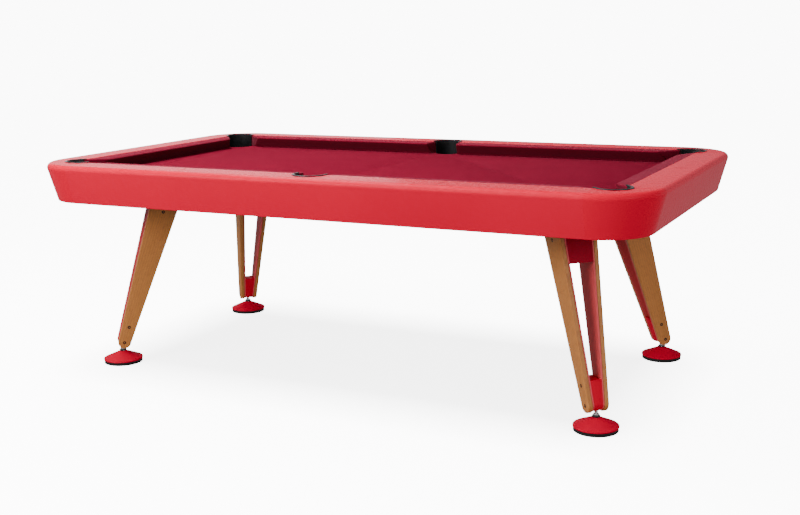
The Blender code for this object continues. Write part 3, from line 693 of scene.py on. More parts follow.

# %% [markdown]
# ## Sight marks
#
# A thin line is engraved across each rail at the diamond positions. A real one is half a millimetre deep and
# reads as a darker line, so it is made as a slim inlay that stands a hair above the paint, its darker red
# painted shade for the groove.


# %% Engraved sight marks
def inlay(name, centre, length, width, angle):
    """A slim bar with rounded ends: a stadium outline from just under the paint to just over it."""
    half = length / 2 - width / 2
    right = arc_points((half, 0), width / 2, -math.pi / 2, math.pi / 2, 8)
    left = arc_points((-half, 0), width / 2, math.pi / 2, 3 * math.pi / 2, 8)
    outline = np.vstack([right, left])
    points = np.zeros((2, len(outline), 3))
    points[..., :2] = outline[None]
    points[..., 2] = np.array([-MARK_SINK, MARK_RISE])[:, None]
    return surface(name, turned_points(points, angle, centre), wrap_columns=True, caps=True)


MARK_LENGTH = 0.040
MARK_WIDTH = 0.0036
MARK_SINK = 0.0006
MARK_RISE = 0.00012
MARK_SHIFT = 0.001            # marks lie this far outside the middle of the rail's flat top
FLAT_MIDDLE = (CUSHION_WIDTH + RAIL_WIDTH - EDGE_RADIUS) / 2 + MARK_SHIFT
for side, sign in SIDES.items():
    for half, sx in (("left", -1), ("right", 1)):
        centre = (sx * HALF_FIELD_X / 2, sign * (HALF_FIELD_Y + FLAT_MIDDLE), RAIL_TOP)
        mark = inlay(f"{side}_{half}_sight_mark", centre, MARK_LENGTH, MARK_WIDTH, math.pi / 2)
        hand_over(mark, GROOVE_SHADE_INK, "table", "rail_paint")
for half, sx in (("left", -1), ("right", 1)):
    centre = (sx * (HALF_FIELD_X + FLAT_MIDDLE), 0.0, RAIL_TOP)
    mark = inlay(half + "_end_sight_mark", centre, MARK_LENGTH, MARK_WIDTH, 0.0)
    hand_over(mark, GROOVE_SHADE_INK, "table", "rail_paint")

# %% [markdown]
# ## Pocket rings
#
# A polished ring trims each opening. It is a half circle with two straight ends that lap over the cushions. A
# torus would be too round: the real trim is a flat band with a domed top, so its section is half a rounded
# oblong, carried along the path and drawn in at both tips.

# %% Rings
RING_LAP = 0.0015             # inner edge of the ring inside the edge of the hole
RING_WIDTH = 0.0085
RING_LEG = {"corner": 0.025, "side": 0.020}
TIP_STEPS = np.array([0.0, 0.0006, 0.0014, 0.0026])
TIP_SCALES = (0.35, 0.66, 0.87, 1.0)


def ring_path(middle_radius, leg):
    """Path points and tip scales of a U: a straight leg, a half circle and the other leg."""
    straight = np.concatenate([TIP_STEPS - leg, np.linspace(-leg, 0, 9)[1:-1]])
    start = np.stack([straight, np.full_like(straight, -middle_radius)], axis=1)
    curve = arc_points((0, 0), middle_radius, -math.pi / 2, math.pi / 2, 56)
    end = start[::-1] * np.array([1, -1])
    path = np.vstack([start, curve, end])
    scale = np.ones(len(path))
    scale[: len(TIP_SCALES)] = TIP_SCALES
    scale[-len(TIP_SCALES) :] = TIP_SCALES[::-1]
    return path, scale


def carried(path, scale, section):
    """Points at path + section.x * left + section.y * up, the section shrunk by the scale."""
    along = np.gradient(path, axis=0)
    along /= np.linalg.norm(along, axis=1)[:, None]
    left = np.stack([-along[:, 1], along[:, 0]], axis=1)
    points = np.zeros((len(path), len(section), 3))
    reach = scale[:, None] * section[None, :, 0]
    points[..., 0] = path[:, None, 0] + left[:, None, 0] * reach
    points[..., 1] = path[:, None, 1] + left[:, None, 1] * reach
    points[..., 2] = scale[:, None] * section[None, :, 1]
    return points


def ring_section(width, height):
    """Half a superellipse of power 2.6 with a flat underside."""
    angle = np.linspace(0, math.pi, 17)
    power = 2 / 2.6
    x = width / 2 * np.sign(np.cos(angle)) * np.abs(np.cos(angle)) ** power
    y = height * np.abs(np.sin(angle)) ** power
    return np.stack([x, y], axis=1)


for name, (centre, cup_radius, direction) in POCKETS.items():
    low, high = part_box(name + "_pocket_ring")
    middle_radius = cup_radius + HOLE_CLEARANCE - RING_LAP + RING_WIDTH / 2
    leg = RING_LEG["side" if name.endswith("side") else "corner"]
    path, scale = ring_path(middle_radius, leg)
    points = carried(path, scale, ring_section(RING_WIDTH, high.z - low.z))
    points = turned_points(points, direction, (*centre, low.z))
    ring = surface(name + "_ring_trim", points, wrap_columns=True, caps=True)
    hand_over(ring, RING_TRIM, "table", "ring_black", name + "_pocket_ring")

# %% [markdown]
# ## Pocket cups
#
# A ball drops about 90 mm into a moulded cup. Its wall is a turned shape with a rounded floor and low ribs,
# open on the side of the field above the slate. The opening is cut with a box.

# %% Cups
CUP_WALL = 0.0028
CHEEK = {"corner": 0.008, "side": 0.0125}
FLOOR_ROUND = 0.011
RIB_DEPTH = 0.0007
RIB_PITCH = 0.0062
MOUTH_DROP = 0.0006           # the mouth is cut to this far below the slate's top


def cup_outline(radius, low, high):
    """Outer wall, underside, floor with a rounded corner, ribbed inner wall, and the rim."""
    wall = radius - CUP_WALL
    floor = low + CUP_WALL
    corner = arc_points((wall - FLOOR_ROUND, floor + FLOOR_ROUND), FLOOR_ROUND, -math.pi / 2, 0, 10)
    height = np.linspace(floor + FLOOR_ROUND, high - 0.004, 60)[1:]
    rib = RIB_DEPTH / 2 * (1 + np.cos(2 * math.pi * (height - floor) / RIB_PITCH))
    inner = np.stack([wall - rib, height], axis=1)
    outer = [(wall, high - 0.0015), (wall + 0.0008, high), (radius - 0.0008, high), (radius, high - 0.001)]
    under = [(radius, low + 0.002), (radius - 0.002, low), (0.0, low)]
    return np.vstack([[(0.0, floor)], corner, inner, outer, under])


def box_solid(low, high, angle, shift):
    """A closed box from its lowest to its highest corner, turned about Z and moved."""
    x = np.array([low[0], high[0], high[0], low[0]])
    y = np.array([low[1], low[1], high[1], high[1]])
    points = np.zeros((2, 4, 3))
    points[..., 0] = x
    points[..., 1] = y
    points[..., 2] = np.array([low[2], high[2]])[:, None]
    return surface("box", turned_points(points, angle, shift), wrap_columns=True, caps=True)


for name, (centre, radius, direction) in POCKETS.items():
    low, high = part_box(name + "_pocket_cup")
    cup = turned(name + "_pocket_liner", cup_outline(radius, low.z, high.z), centre, steps=96)
    cheek = CHEEK["side" if name.endswith("side") else "corner"]
    reach = 2 * radius
    mouth_low = (-reach, -reach, BED_UNDER - MOUTH_DROP)
    mouth_high = (-cheek, reach, high.z + 0.02)
    mouth = box_solid(mouth_low, mouth_high, direction, (*centre, 0.0))
    hand_over(cut_away(cup, mouth), POCKET_BLACK, "table", "pocket_black", name + "_pocket_cup")
print("pockets done")

# %% [markdown]
# ## Bed cloth
#
# The cloth lies stretched over the slate and is notched round each pocket. A simulation would only give back
# a flat sheet, because a stretched cloth is flat. So it is a sheet of its real thickness with the notches cut
# out and its edges rounded.


# %% Stretched bed cloth
def disc_cutter(name, clearance):
    """A tall closed cylinder over a pocket."""
    centre, radius, _ = POCKETS[name]
    low, high = BED_UNDER - 0.02, BED_TOP + 0.02
    outline = [(0.0, high), (radius + clearance, high), (radius + clearance, low), (0.0, low)]
    return turned("disc", outline, centre, steps=96)


NOTCH_MARGIN = 0.0004         # cloth's notch outside the hole in the rails
CLOTH_ROUND = 0.0004
cloth_low, cloth_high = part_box("bed_cloth")
cloth = box_solid(tuple(cloth_low), tuple(cloth_high), 0.0, (0.0, 0.0, 0.0))
cloth.name = "stretched_bed_cloth"
for name in POCKETS:
    cut_away(cloth, disc_cutter(name, HOLE_CLEARANCE + NOTCH_MARGIN))
soften(cloth, CLOTH_ROUND, 2, 60)
hand_over(cloth, BED_CLOTH, "table", "bed_cloth", "bed_cloth")

# %% [markdown]
# ## Cushions
#
# A cushion is a strip of rubber with a nose that overhangs its own foot, wrapped in cloth that is drawn tight
# and tucked in at both ends. Its section stays the same all along, and its ends lean back from the nose.
# Cloth over rubber has no sharp edge, so the section is filleted and the ends are rounded.

# %% Cushion section
NOSE_ROUND = 0.0035
FACE_FOOT_DEPTH = 0.028
BASE_START = 0.030            # the flat base starts this far back from the nose
FACE_FOOT_RISE = 0.006
CLOTH_GAP = 0.0003
TUCK = 0.0022                 # radius of the rounded pocket ends


def cushion_section():
    """Closed line of (distance back from the nose, height) with round nose, foot and back edges."""
    nose = BED_TOP + NOSE_RISE
    foot = BED_TOP + FACE_FOOT_RISE
    base = BED_TOP + CLOTH_GAP
    corners = [
        (BASE_START, base),
        (CUSHION_WIDTH, base),
        (CUSHION_WIDTH, CUSHION_TOP),
        (NOSE_ROUND, nose + NOSE_ROUND),
        (0.00002, nose),
        (FACE_FOOT_DEPTH, foot),
        (FACE_FOOT_DEPTH, base),
        (BASE_START, base),
    ]
    return fillet_path(corners, [0.001, 0.0022, 0.004, 0.0016, 0.0012, 0.0], 6)[:-1]


def shrunk(section, distance):
    """The closed line moved inwards by the distance at every point."""
    before = np.roll(section, 1, axis=0)
    after = np.roll(section, -1, axis=0)
    along = after - before
    along /= np.linalg.norm(along, axis=1)[:, None]
    inward = np.stack([-along[:, 1], along[:, 0]], axis=1)
    return section + distance * inward


CUSHION_LINE = cushion_section()


# %% Cushions along the rails
def cushion_cloth(name, node, half_field, angle, cuts):
    """Rings of the section along X. An end at x0 leans back: x = x0 -+ depth / tan(cut)."""
    low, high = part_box(node)
    corners = np.array([[low.x, low.y], [high.x, high.y]])
    c, s = math.cos(-angle), math.sin(-angle)
    local = corners @ np.array([[c, s], [-s, c]])
    back_start, back_end = sorted(local[:, 0])
    if cuts[0] == SIDE_CUT:
        back_start -= END_OVERLAP
    if cuts[1] == SIDE_CUT:
        back_end += END_OVERLAP
    lean = [1 / math.tan(cut) for cut in cuts]
    run_start = back_start + max(0.0, lean[0]) * CUSHION_WIDTH
    run_end = back_end - max(0.0, lean[1]) * CUSHION_WIDTH
    quarter = np.linspace(0, math.pi / 2, 6)
    inset = TUCK * (1 - np.sin(quarter))
    pull = TUCK * (1 - np.cos(quarter))
    rows = []
    for along, shrink in zip(pull, inset):
        line = shrunk(CUSHION_LINE, shrink)
        rows.append((run_start + along - line[:, 0] * lean[0], line))
    middle = np.linspace(0, 1, 25)[1:-1]
    for share in middle:
        start = run_start + TUCK - CUSHION_LINE[:, 0] * lean[0]
        end = run_end - TUCK + CUSHION_LINE[:, 0] * lean[1]
        rows.append((start + (end - start) * share, CUSHION_LINE))
    for along, shrink in zip(pull[::-1], inset[::-1]):
        line = shrunk(CUSHION_LINE, shrink)
        rows.append((run_end - along + line[:, 0] * lean[1], line))
    points = np.zeros((len(rows), len(CUSHION_LINE), 3))
    for index, (along, line) in enumerate(rows):
        points[index, :, 0] = along
        points[index, :, 1] = -half_field - line[:, 0]
        points[index, :, 2] = line[:, 1]
    piece = surface(name, turned_points(points, angle), wrap_columns=True, caps=True, sharp=40.0)
    hand_over(piece, CUSHION_CLOTH_NOSE_SHADE, "table", "cushion_cloth", node)


CORNER_CUT = math.radians(38)
SIDE_CUT = math.radians(76)
END_OVERLAP = 0.0019          # the cloth's fold reaches this much nearer to a side pocket
for side, angle in (("front", 0.0), ("back", math.pi)):
    for half in ("left", "right"):
        at_start = (half == "left") == (side == "front")
        cuts = (CORNER_CUT, SIDE_CUT) if at_start else (SIDE_CUT, CORNER_CUT)
        name = f"{side}_{half}_cushion"
        cushion_cloth(name + "_covered", name, HALF_FIELD_Y, angle, cuts)
for side, angle in (("right", math.pi / 2), ("left", -math.pi / 2)):
    name = side + "_end_cushion"
    cushion_cloth(name + "_covered", name, HALF_FIELD_X, angle, (CORNER_CUT, CORNER_CUT))
print("cushions done")

# %% [markdown]
# ## Legs
#
# A leg lies in a vertical plane that points to its corner. Both edges of a board lean inwards as they rise,
# and the two boards spread apart. So a leg has its own directions: outwards, across and up. Every piece of it
# is drawn in those and then turned into place.

# %% Leg lines
LEG_ANGLE = math.radians(43)
LOW_HEIGHT, HIGH_HEIGHT = 0.106, 0.656
EDGES = {"outer": (0.012, -0.143), "inner": (-0.0415, -0.259)}
SPREAD = (0.0223, 0.0557)
BOARD_THICKNESS = 0.016
BOARD_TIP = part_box("front_right_leg_board_a")[0].z
CORE_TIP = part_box("front_right_leg_core")[0].z
CORE_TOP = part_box("front_right_leg_core")[1].z
BOARD_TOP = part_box("front_right_leg_board_a")[1].z
BOARD_GAP = 0.0003
CORE_SHEET = 0.005
PLATE = CORE_TOP - BOARD_TOP - BOARD_GAP
UPPER_WEB_BOTTOM = 0.524
LOWER_BLOCK_TOP = 0.163
LEGS = {}
for name, (sx, sy) in CORNERS.items():
    low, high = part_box(name + "_stud")
    foot = ((low.x + high.x) / 2, (low.y + high.y) / 2)
    LEGS[name] = (foot, math.atan2(sy * math.sin(LEG_ANGLE), sx * math.cos(LEG_ANGLE)))


def between(pair, height):
    """The value at a height on the straight line through the two heights."""
    return pair[0] + (pair[1] - pair[0]) * (height - LOW_HEIGHT) / (HIGH_HEIGHT - LOW_HEIGHT)


def edge(which, height):
    return between(EDGES[which], height)


def half_spread(height):
    return between(SPREAD, height)


# %% Tapered outline with a round lower end
def blade(tip, top, inset=0.0, steps=20):
    """Both edge lines joined by an arc that touches them and just reaches the tip."""
    span = HIGH_HEIGHT - LOW_HEIGHT
    outer_slope = (EDGES["outer"][1] - EDGES["outer"][0]) / span
    inner_slope = (EDGES["inner"][1] - EDGES["inner"][0]) / span
    width = edge("outer", tip) - edge("inner", tip) - 2 * inset
    lengths = math.hypot(1, outer_slope) + math.hypot(1, inner_slope)
    radius = width / (lengths - (outer_slope - inner_slope))
    height = tip + radius
    centre = (edge("outer", height) - inset - radius * math.hypot(1, outer_slope), height)
    start = -math.pi - math.atan(inner_slope)
    end = -math.atan(outer_slope)
    curve = arc_points(centre, radius, start, end, steps)
    return np.vstack([curve, [(edge("outer", top) - inset, top), (edge("inner", top) + inset, top)]])


def inset_line(outline, distance):
    """The closed outline moved inwards, mitred at its corners."""
    before = outline - np.roll(outline, 1, axis=0)
    after = np.roll(outline, -1, axis=0) - outline
    before /= np.linalg.norm(before, axis=1)[:, None]
    after /= np.linalg.norm(after, axis=1)[:, None]
    first = np.stack([-before[:, 1], before[:, 0]], axis=1)
    second = np.stack([-after[:, 1], after[:, 0]], axis=1)
    mitre = first + second
    mitre /= np.sum(mitre * first, axis=1)[:, None]
    return outline + distance * mitre


def soft_slab(name, outline, near, far, radius, place, steps=5):
    """A slab between two leaning faces whose edges are quarter rounds of the radius.

    Each ring is the outline moved in by r (1 - sin a) while it goes in from the face by r (1 - cos a)."""
    quarter = np.linspace(0, math.pi / 2, steps + 1)
    inset = radius * (1 - np.sin(quarter))
    depth = radius * (1 - np.cos(quarter))
    rings = []
    for move, step in zip(inset, depth):
        rings.append((inset_line(outline, move), step, near))
    for move, step in zip(inset[::-1], depth[::-1]):
        rings.append((inset_line(outline, move), -step, far))
    points = np.zeros((len(rings), len(outline), 3))
    for index, (line, step, face) in enumerate(rings):
        points[index, :, 0] = line[:, 0]
        points[index, :, 1] = face(line[:, 1]) + step
        points[index, :, 2] = line[:, 1]
    foot, direction = place
    placed = turned_points(points, direction, (*foot, 0.0))
    return surface(name, placed, wrap_columns=True, caps=True, sharp=40.0)


def leaning_face(sign, offset):
    """The face that lies this far outside the flange's outer face, as a function from height to across."""

    def across(height):
        return sign * (half_spread(height) + offset)

    return across


def slab_faces(sign, inner_offset, outer_offset):
    """Near and far face of a slab on that side of the leg, from low to high across value."""
    inner = leaning_face(sign, inner_offset)
    outer = leaning_face(sign, outer_offset)
    return (inner, outer) if sign > 0 else (outer, inner)


# %% Wooden boards with their own grain
BOARD_ROUND = 0.0028


def add_grain(piece, place, jump):
    """Stores (length, width, thickness) on the board for each vertex, moved by a jump."""
    foot, direction = place
    count = len(piece.data.vertices)
    points = np.empty(count * 3)
    piece.data.vertices.foreach_get("co", points)
    points = points.reshape(-1, 3) - np.array([*foot, 0.0])
    local = turned_points(points, -direction)
    middle = np.array([(edge("outer", z) + edge("inner", z)) / 2 for z in (LOW_HEIGHT, HIGH_HEIGHT)])
    lean = math.atan2(middle[1] - middle[0], HIGH_HEIGHT - LOW_HEIGHT)
    length = local[:, 2] * math.cos(lean) + local[:, 0] * math.sin(lean)
    width = local[:, 0] * math.cos(lean) - local[:, 2] * math.sin(lean)
    grain = np.stack([length, width, local[:, 1]], axis=1) + jump * np.array([1.7, 0.9, 1.3])
    attribute = piece.data.attributes.new("grain", "FLOAT_VECTOR", "POINT")
    attribute.data.foreach_set("vector", grain.astype(np.float32).ravel())


board_number = 0
for name, place in LEGS.items():
    for label, sign in (("a", 1), ("b", -1)):
        node = f"{name}_leg_board_{label}"
        outline = blade(BOARD_TIP, BOARD_TOP)
        faces = slab_faces(sign, BOARD_GAP, BOARD_GAP + BOARD_THICKNESS)
        board = soft_slab(node + "_wood", outline, *faces, BOARD_ROUND, place)
        add_grain(board, place, board_number)
        hand_over(board, LEG_WOOD, "table", "leg_wood", node)
        board_number += 1
print("boards:", board_number)

# %% [markdown]
# ## Leg cores
#
# The core is bent and welded from 5 mm plate: two flanges under the boards, a web on the outer side above,
# a solid block at the bottom and a plate that bolts to the subframe. Each plate is a slab with small rounds,
# as a powder coat leaves them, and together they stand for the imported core.

# %% Cores
CORE_ROUND = 0.0011           # edge round of every plate of the core
PLATE_MARGIN = 0.012
WEB_SHEET = 0.005
SET_BACK = 0.0005


def core_flange(name, sign, place):
    """One of the two long plates under the boards."""
    faces = slab_faces(sign, -CORE_SHEET, 0.0)
    return soft_slab(name, blade(CORE_TIP, BOARD_TOP), *faces, CORE_ROUND, place)


def between_flanges(name, outline, place):
    """A slab that fills the space between the flanges and reaches a little into them."""
    near = leaning_face(-1, -CORE_SHEET * 0.8)
    far = leaning_face(1, -CORE_SHEET * 0.8)
    return soft_slab(name, outline, near, far, CORE_ROUND, place)


def core_web(name, place):
    """The upper web follows the outer edge, from its lower edge up to the plate."""
    heights = np.array([UPPER_WEB_BOTTOM, BOARD_TOP])
    outer = np.array([edge("outer", z) for z in heights]) - SET_BACK
    outline = np.array(
        [
            (outer[0] - WEB_SHEET, heights[0]),
            (outer[0], heights[0]),
            (outer[1], heights[1]),
            (outer[1] - WEB_SHEET, heights[1]),
        ]
    )
    return between_flanges(name, outline, place)


def core_block(name, place):
    """The solid lower end, set back a little from the flanges' edges."""
    outline = blade(CORE_TIP + SET_BACK, LOWER_BLOCK_TOP, SET_BACK)
    return between_flanges(name, outline, place)


def core_plate(name, place):
    """The top plate, an oblong with rounded corners and edges."""
    foot, direction = place
    half = half_spread(CORE_TOP) + BOARD_THICKNESS
    start = edge("inner", CORE_TOP) - PLATE_MARGIN
    end = edge("outer", CORE_TOP) + PLATE_MARGIN
    plate = box_solid((start, -half, CORE_TOP - PLATE), (end, half, CORE_TOP), direction, (*foot, 0.0))
    plate.name = name
    return soften(plate, CORE_ROUND, 3)


for name, place in LEGS.items():
    pieces = [
        core_flange(name + "_core_flange_a", 1, place),
        core_flange(name + "_core_flange_b", -1, place),
        core_web(name + "_core_web", place),
        core_block(name + "_core_block", place),
        core_plate(name + "_core_plate", place),
    ]
    for piece in pieces:
        # The web takes painted shade and the flanges painted light; the other plates keep the core paint.
        paint = CORE_PAINT
        if piece.name.endswith("web"):
            paint = WEB_PAINTED_SHADE
        elif "flange" in piece.name:
            paint = FLANGE_LIT_PAINT
        hand_over(piece, paint, "table", "core_paint")
    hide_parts(name + "_leg_core")
print("cores done")

# %% [markdown]
# ## Screws
#
# Three black countersunk screws hold each board to its flange. Each head is a turned disc that sits flush in
# the wood, with a hexagon socket sunk into it, and lies square to the leaning face.

# %% Board screws
SCREW_PLACES = [(-0.180, 0.591), (-0.027, 0.144), (-0.006, 0.083)]   # outward from the foot, height
HEAD_RADIUS = 0.0062
SOCKET_RADIUS = 0.0023
SOCKET_DEPTH = 0.0024


def screw_points():
    """Rings of a domed head: the four innermost follow a hexagon, the others a circle."""
    angle = np.linspace(0, 2 * np.pi, 36, endpoint=False)
    hexagon = np.cos(math.pi / 6) / np.cos((angle + math.pi / 6) % (math.pi / 3) - math.pi / 6)
    round_ring = np.ones_like(angle)
    rings = [
        (0.0, -SOCKET_DEPTH, hexagon),
        (SOCKET_RADIUS * 0.98, -SOCKET_DEPTH, hexagon),
        (SOCKET_RADIUS, -0.0001, hexagon),
        (SOCKET_RADIUS * 1.12, 0.0001, hexagon),
        (HEAD_RADIUS * 0.80, 0.0002, round_ring),
        (HEAD_RADIUS * 0.95, 0.0001, round_ring),
        (HEAD_RADIUS, -0.0003, round_ring),
        (HEAD_RADIUS * 0.5, -0.0042, round_ring),
        (0.0, -0.0042, round_ring),
    ]
    radius = np.array([ring[0] * ring[2] for ring in rings])
    height = np.array([np.full_like(angle, ring[1]) for ring in rings])
    return np.stack([radius * np.cos(angle), radius * np.sin(angle), height], axis=-1)


def stand_on(points, normal, spot):
    """The points with their Z along the normal, moved to the spot."""
    turn = np.array(Vector((0, 0, 1)).rotation_difference(Vector(normal)).to_matrix())
    return points @ turn.T + np.array(spot)


SCREW = screw_points()
SPREAD_SLOPE = (SPREAD[1] - SPREAD[0]) / (HIGH_HEIGHT - LOW_HEIGHT)
for name, (foot, direction) in LEGS.items():
    for label, sign in (("a", 1), ("b", -1)):
        for number, (outward, height) in enumerate(SCREW_PLACES, 1):
            across = sign * (half_spread(height) + BOARD_GAP + BOARD_THICKNESS)
            normal = np.array([0.0, sign, -SPREAD_SLOPE])
            normal /= np.linalg.norm(normal)
            head = stand_on(SCREW, normal, (outward, across, height) + normal * 0.0001)
            points = turned_points(head, direction, (*foot, 0.0))
            screw = surface(f"{name}_board_{label}_screw_{number}", points, wrap_columns=True, sharp=35.0)
            hand_over(screw, SCREW_BLACK, "table", "stud_chrome")
print("screws done")

# %% [markdown]
# ## Levelling feet
#
# The foot is a turned cone on a rubber pad. A threaded stud with a ball end stands in the cone, and a collar
# keeps the ball in its socket. The thread is a true helix: its radius is a triangle wave of height and angle.

# %% Thread, collar, cone and pad
THREAD_PITCH = 0.00175
THREAD_DEPTH = 0.00095
STUD_RADIUS = 0.006


def stud_points(foot, low, high, ball_centre, ball_radius):
    """Rows up the stud. Above the neck the radius is r - depth * |triangle(z / pitch - a / 2 pi)|."""
    angle = np.linspace(0, 2 * np.pi, 40, endpoint=False)[None, :]
    neck = ball_centre + math.sqrt(ball_radius**2 - (STUD_RADIUS - THREAD_DEPTH) ** 2)
    ball_turn = np.linspace(-math.pi / 2, math.asin((neck - ball_centre) / ball_radius), 12)
    ball_z = ball_centre + ball_radius * np.sin(ball_turn)
    ball_r = ball_radius * np.cos(ball_turn)
    ball_r[0] = 0.0
    shaft_z = np.arange(neck + 0.001, high - 0.0016, THREAD_PITCH / 6)
    phase = shaft_z[:, None] / THREAD_PITCH - angle / (2 * np.pi)
    wave = np.abs(2 * (phase - np.floor(phase)) - 1)
    shaft_r = STUD_RADIUS - THREAD_DEPTH * wave
    lead = np.clip((shaft_z - shaft_z[0]) / 0.003, 0, 1)[:, None]
    shaft_r = shaft_r * lead + (STUD_RADIUS - THREAD_DEPTH) * (1 - lead)
    end_z = np.array([high - 0.0008, high, high])
    end_r = np.array([STUD_RADIUS - THREAD_DEPTH, STUD_RADIUS - 0.0018, 0.0])
    radius = np.vstack([np.repeat(ball_r[:, None], 40, 1), shaft_r, np.repeat(end_r[:, None], 40, 1)])
    height = np.concatenate([ball_z, shaft_z, end_z])[:, None]
    x = foot[0] + radius * np.cos(angle)
    y = foot[1] + radius * np.sin(angle)
    return np.stack([x, y, np.broadcast_to(height, x.shape)], axis=-1)


def hexagon_nut(name, foot, low, high, across_flats, bore):
    """A ring of six flats with chamfered corners round the stud."""
    angle = np.linspace(0, 2 * np.pi, 72, endpoint=False)[None, :]
    hexagon = 1 / np.cos((angle + math.pi / 6) % (math.pi / 3) - math.pi / 6)
    half = across_flats / 2
    full = half * hexagon
    trimmed = np.minimum(full, half * 1.045)
    inside = np.full_like(full, bore)
    chamfer = np.full_like(full, half * 0.93)
    flats = full * 0.999
    radius = np.vstack([inside, chamfer, trimmed, flats, flats, trimmed, chamfer, inside])
    rim = 0.0006
    height = np.array([high, high, high - rim / 2, high - rim, low + rim, low + rim / 2, low, low])[:, None]
    x = foot[0] + radius * np.cos(angle)
    y = foot[1] + radius * np.sin(angle)
    points = np.stack([x, y, np.broadcast_to(height, x.shape)], axis=-1)
    return surface(name, points, wrap_rows=True, wrap_columns=True, sharp=25.0)


def ring_outline(bore, radius, low, high, edge_round):
    """Closed outline of a turned ring with rounded outer edges."""
    top = arc_points((radius - edge_round, high - edge_round), edge_round, math.pi / 2, 0, 5)
    bottom = arc_points((radius - edge_round, low + edge_round), edge_round, 0, -math.pi / 2, 5)
    return np.vstack([[(bore, high)], top, bottom, [(bore, low)]])


def cone_outline(low, high, radius, top_radius, rim, socket, floor):
    """Outline from the socket's edge over the top, down the slope with soft shoulders, and under."""
    corners = [(socket, high), (top_radius, high), (radius, low + rim), (radius, low), (0.0, low)]
    outer = fillet_path(corners, [0.0022, 0.0022, 0.0010], 7)
    return np.vstack([outer, [(0.0, floor), (socket, floor)]])


def pad_outline(radius, thickness):
    """A thick rubber disc with a groove round its edge and a rounded foot."""
    side = np.linspace(0, 1, 21)
    groove = 0.0007 * np.exp(-(((side - 0.55) / 0.13) ** 2))
    wall = np.stack([radius - groove, thickness - 0.0006 - side * (thickness - 0.0021)], axis=1)
    foot = arc_points((radius - 0.0015, 0.0015), 0.0015, 0, -math.pi / 2, 6)
    return np.vstack([[(0.0, thickness), (radius - 0.0008, thickness)], wall, foot[1:], [(0.0, 0.0)]])


CONE_RIM = 0.0045
CONE_TOP_RADIUS = 0.0145
BALL_RADIUS = 0.0085
BALL_CENTRE = 0.034
SOCKET_ROOM = 0.0013          # ball to the cone's socket
SOCKET_FLOOR = 0.019
COLLAR_ROUND = 0.0011
NUT_START, NUT_END = 0.0004, 0.0062   # above the collar
NUT_FLATS = 0.017
NUT_BORE = 0.0045
for name, (foot, _) in LEGS.items():
    stud_low, stud_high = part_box(name + "_stud")
    points = stud_points(foot, stud_low.z, stud_high.z, BALL_CENTRE, BALL_RADIUS)
    stud = surface(name + "_threaded_stud", points, wrap_columns=True, sharp=55.0)
    hand_over(stud, STUD_STEEL, name + "_stud_body", "stud_chrome", name + "_stud")
    collar_low, collar_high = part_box(name + "_collar")
    nut_low, nut_high = collar_high.z + NUT_START, collar_high.z + NUT_END
    nut = hexagon_nut(name + "_stud_hexagon", foot, nut_low, nut_high, NUT_FLATS, NUT_BORE)
    hand_over(nut, STUD_STEEL, name + "_stud_body", "stud_chrome")
    radius = (collar_high.x - collar_low.x) / 2
    bore = STUD_RADIUS + HOLE_CLEARANCE
    outline = ring_outline(bore, radius, collar_low.z, collar_high.z, COLLAR_ROUND)
    collar = turned(name + "_collar_ring", outline, foot, steps=64)
    hand_over(collar, COLLAR_BLACK, name + "_collar_body", "collar_black", name + "_collar")
    cone_low, cone_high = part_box(name + "_foot_cone")
    radius = (cone_high.x - cone_low.x) / 2
    socket = BALL_RADIUS + SOCKET_ROOM
    outline = cone_outline(cone_low.z, cone_high.z, radius, CONE_TOP_RADIUS, CONE_RIM, socket, SOCKET_FLOOR)
    cone = turned(name + "_painted_cone", outline, foot, steps=128)
    hand_over(cone, FOOT_PAINT, name + "_foot_body", "foot_paint", name + "_foot_cone")
    pad_low, pad_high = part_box(name + "_foot_pad")
    outline = pad_outline((pad_high.x - pad_low.x) / 2, pad_high.z)
    pad = turned(name + "_rubber_pad", outline, foot, steps=128)
    hand_over(pad, PAD_RUBBER, name + "_foot_body", "pad_rubber", name + "_foot_pad")
print("feet done")

# %% [markdown]
# ## Subframe and slate
#
# Under the bed, four rectangular tubes carry the slate and take the legs' top plates. A rolled tube has round
# corners and open ends, so its section is carried along its length with the inside as part of the same
# surface. The slate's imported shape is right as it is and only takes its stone.

# %% Tubes
TUBE_WALL = 0.003
TUBE_ROUND = 0.006


def rounded_oblong(half_width, half_height, radius, steps=6):
    """Closed outline of an oblong with round corners, counter-clockwise."""
    parts = []
    for index, (sx, sy) in enumerate(((1, 1), (-1, 1), (-1, -1), (1, -1))):
        centre = (sx * (half_width - radius), sy * (half_height - radius))
        parts.append(arc_points(centre, radius, index * math.pi / 2, (index + 1) * math.pi / 2, steps))
    return np.vstack(parts)


def rolled_tube(name, node, along_x):
    """Outer and inner wall as one closed surface: out along the outside, back along the inside."""
    low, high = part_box(node)
    half_length = (high.x - low.x if along_x else high.y - low.y) / 2
    half_width = (high.y - low.y if along_x else high.x - low.x) / 2
    half_height = (high.z - low.z) / 2
    outer = rounded_oblong(half_width, half_height, TUBE_ROUND)
    inner = rounded_oblong(half_width - TUBE_WALL, half_height - TUBE_WALL, TUBE_ROUND - TUBE_WALL)
    rows = []
    for end, line in ((-1, outer), (1, outer), (1, inner), (-1, inner)):
        along = end * half_length
        rows.append(np.stack([np.full(len(line), along), line[:, 0], line[:, 1]], axis=1))
    points = turned_points(np.array(rows), 0.0 if along_x else math.pi / 2, tuple((low + high) / 2))
    tube = surface(name, points, wrap_rows=True, wrap_columns=True)
    hand_over(tube, FRAME_PAINT, "table", "frame_paint", node)


for side in ("front", "back"):
    rolled_tube(side + "_long_tube", side + "_long_beam", True)
for side in ("left", "right"):
    rolled_tube(side + "_cross_tube", side + "_cross_beam", False)
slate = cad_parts["slate_bed"]
slate.data.materials.clear()
slate.data.materials.append(SLATE_STONE)

# %% [markdown]
# ## Studio
#
# The table stands on a plain pale floor in soft light: a long panel over it, a broad one from the front left,
# three weaker ones from the right and from behind, and an even room light all round.


